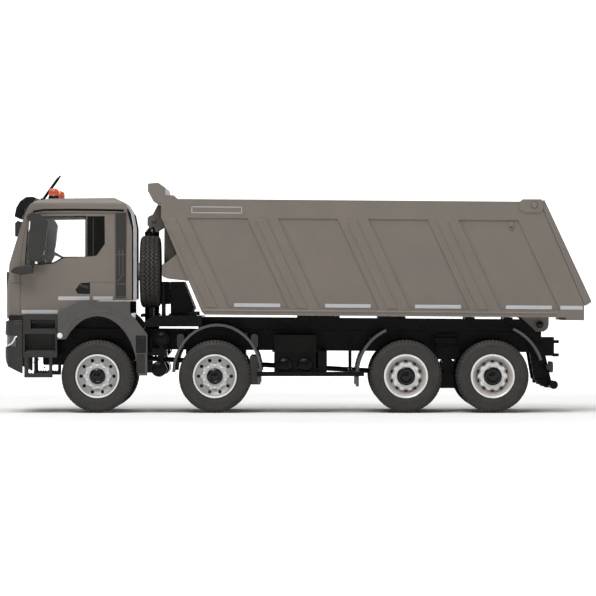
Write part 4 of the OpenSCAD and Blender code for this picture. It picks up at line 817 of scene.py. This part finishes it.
gatePin = np.array(jointAt["tailgate_swing"]) / mm
lug = [(-68.4, 62.9), (-70.2, 61.9), (-75.4, 61.9), (-76.0, 63.0), (-76.1, 65.3), (-75.4, 66.1), (-69.6, 66.1),
       (-68.6, 65.2)]
piece("gate_lugs", "body", "tipper_bed", mirrored([onBed(lug, 0.0, 0.4)]), 0.12)
pinFace = np.array([gatePin[0], bedSide, gatePin[2]])
piece("gate_pin_caps", "body", "tipper_bed",
      mirrored([turned([(0, 0), (0.95, 0), (0.95, 0.62), (0.8, 0.72), (0, 0.74)], pinFace, "y", 1, 32)]))
piece("gate_pin_rings", "groove", "tipper_bed",
      mirrored([turned([(0.95, 0.1), (1.14, 0.1), (1.14, 0.45), (0.95, 0.45)], pinFace, "y", 1, 32)]))
hooks = [brick(-66.6, -65.2, bedSide - 0.55, bedSide + 0.1, 57.0, 59.0),
         rod((-65.9, bedSide - 0.5, 57.1), (-65.9, bedSide + 0.1, 57.1), 0.6)]
piece("bed_net_hooks", "body", "tipper_bed", mirrored(raked(hooks)), 0.15)

# Tilt pin ends on the brown ears
piece("tilt_pin_heads", "shiny", "chassis",
      mirrored([turned([(0, 0), (1.1, 0), (1.1, 0.5), (0.85, 0.62), (0, 0.62)],
                       np.array([tiltPin[0], 11.1, tiltPin[2]]), "y", 1, 28)]))
print("bed")

# Frame side

boltPitch = 3.1
bolts = [rod((x, 8.7, 23.2), (x, 9.12, 23.2), 0.3, 6) for x in np.arange(-66, 30, boltPitch)]
bolts += [rod((x, 8.7, 19.9), (x, 9.12, 19.9), 0.3, 6) for x in np.arange(-64.5, 30, boltPitch * 2)]
piece("rail_bolts", "frame", "chassis", mirrored(raked(bolts)))
ovals = rounded(-50.2, -42.2, 20.5, 23.7, 1.5)
grown = rounded(-50.7, -41.7, 20.0, 24.2, 2.0)
rings = np.zeros((len(ovals), 4, 3))
for k, (edge, y) in enumerate([(ovals, 11.0), (grown, 11.0), (grown, 12.2), (ovals, 12.2)]):
    rings[:, k, 0], rings[:, k, 2], rings[:, k, 1] = edge[:, 0], edge[:, 1], y
piece("bogie_brackets", "frame", "chassis", mirrored([(rings.reshape(-1, 3), gridFaces(len(ovals), 4, True).tolist()),
                                                     brick(-49.6, -42.8, 8.6, 12, 21.2, 23.0)]), 0.1)
boxLow, boxHigh = corners("battery_box")
clips = [brick(x, x + 0.5, boxHigh[1] - 0.2, boxHigh[1] + 0.25, 19.3, 23.6)
         for x in (boxLow[0] + 4.2, boxHigh[0] - 1.7)]
clips.append(brick(boxLow[0] + 7.4, boxLow[0] + 10.6, boxHigh[1] - 0.3, boxHigh[1] + 0.15, 20.1, 22.6))
piece("battery_clips", "frame", "chassis", clips, 0.12)
fuelLow, fuelHigh = corners("fuel_tank")
strapLoop = rounded(fuelLow[1] - 0.12, -10.0, 11.1, 24.3, 2.3)
straps = [prism(strapLoop, "x", x, x + 1.6) for x in (fuelLow[0] + 3, fuelHigh[0] - 5)]
piece("fuel_tank_straps", "shiny", "chassis", straps, 0.05)

guardFlap = [brick(12.4, 15.0, 12.5, 23.4, 8.6, 17.4)]
piece("guard_flaps", "plastic", "chassis", mirrored(guardFlap), 0.15)
clampBlocks = [brick(-79.0, -74.6, 9.0, 11.2, 8.5, 10.3)]
piece("underride_clamps", "frame", "chassis", mirrored(clampBlocks), 0.2)
guardBrackets = [prism(rounded(a, b, 19.8, 24.3, 1.0), "y", 20.0, 23.3) for a, b in ((35.3, 37.6), (12.4, 14.7))]
piece("guard_brackets", "plastic", "chassis", mirrored(guardBrackets), 0.12)
lightLow, lightHigh = corners("tail_lights")
redLens, amberLens = [], []
for a, b, store in ((13.6, 16.2, redLens), (16.5, 18.9, amberLens), (19.2, 21.8, redLens)):
    store.append(brick(lightLow[0] - 0.15, lightLow[0] + 0.2, a, b, lightLow[2] + 0.5, lightHigh[2] - 0.5))
piece("tail_lenses_red", "red", "chassis", mirrored(redLens), 0.08)
# The amber lenses carry the same faint painted glow as the beacon domes
piece("tail_lenses_amber", "amber", "chassis", mirrored(amberLens), 0.08)
print("frame side")

# Stage, light and camera

floorMesh = bpy.data.meshes.new("floor")
reach, back, rise = 3.0, -2.4, 2.2
t = np.linspace(0, math.pi / 2, 13)
# The floor lies 0.2 mm under the wheels and sweeps up behind on a quarter round
under, sweep = 0.0002, 0.8
curve = [(back - sweep * math.sin(a), sweep - sweep * math.cos(a) - under) for a in t]
line = np.array([(4.0, -under)] + curve + [(back - sweep, rise)])
points = np.concatenate([np.stack([np.full(len(line), x), line[:, 0], line[:, 1]], 1) for x in (-reach, reach)])
count = len(line)
floorMesh.from_pydata(points, [], [(i, i + 1, count + i + 1, count + i) for i in range(count - 1)])
floor = bpy.data.objects.new("floor", floorMesh)
bpy.context.scene.collection.objects.link(floor)
material["floor"] = surface("paper_matt_white_backdrop", {
    "tone": "#F7F7F6", "tone2": "#F3F3F2", "mottle": 120, "drift": 200, "rough": (0.8, 0.9), "grain": 0.8,
    "grainDepth": 0.004, "swell": 60, "swellDepth": 0.01, "specular": 0.1, "glow": "#FFFFFF"})
# The paper glows more the farther it lies from the model, as if lit by lamps of its own
tree = material["floor"].node_tree
place = addNode(tree, "ShaderNodeTexCoord").outputs["Object"]
length = addNode(tree, "ShaderNodeVectorMath", {"operation": "LENGTH"}, {0: place}).outputs["Value"]
shader = next(node for node in tree.nodes if node.type == "BSDF_PRINCIPLED")
inputs = {"Value": length, "From Min": 0.2, "From Max": 0.8, "To Min": 0, "To Max": 0.9}
glow = addNode(tree, "ShaderNodeMapRange", {"clamp": True}, inputs).outputs["Result"]
tree.links.new(glow, shader.inputs["Emission Strength"])
floorMesh.materials.append(material["floor"])
floorMesh.shade_smooth()

scene = bpy.context.scene
world = bpy.data.worlds.new("studio")
scene.world = world
world.use_nodes = True
world.node_tree.nodes["Background"].inputs["Color"].default_value = hexToLinear("#FFFFFF")
world.node_tree.nodes["Background"].inputs["Strength"].default_value = 0.18


def softbox(name, at, aim, size, power, colour="#FFFFFF"):
    light = bpy.data.lights.new(name, "AREA")
    light.shape = "RECTANGLE"
    light.size, light.size_y = size
    light.energy = power
    light.color = hexToLinear(colour)[:3]
    thing = bpy.data.objects.new(name, light)
    thing.location = at
    thing.rotation_euler = (Vector(aim) - Vector(at)).to_track_quat("-Z", "Y").to_euler()
    scene.collection.objects.link(thing)


softbox("key", (0.3, 0.75, 0.9), (0, 0, 0.03), (0.8, 0.4), 7.0)
softbox("fill", (-0.8, 0.9, 0.35), (0, 0, 0.03), (0.7, 0.6), 1.2)
softbox("top", (0, 0.12, 1.05), (0, 0, 0), (1.1, 0.6), 5.6)
softbox("spark", (0.25, 1.0, 0.7), (0, 0, 0.03), (0.04, 0.04), 1.4)
softbox("rim", (0.1, -0.9, 0.55), (0, 0, 0.04), (1.0, 0.3), 1.2)

view = {"distance": 1.308, "height": 0.03546, "lens": 250}
camera = bpy.data.objects.new("camera", bpy.data.cameras.new("camera"))
camera.data.lens = view["lens"]
camera.data.sensor_width = 36
camera.data.clip_start = 0.01
camera.location = (0, view["distance"], view["height"])
camera.rotation_euler = (math.pi / 2, 0, math.pi)
scene.collection.objects.link(camera)
scene.camera = camera
scene.view_settings.view_transform = "Standard"
scene.view_settings.look = "None"
print("stage")
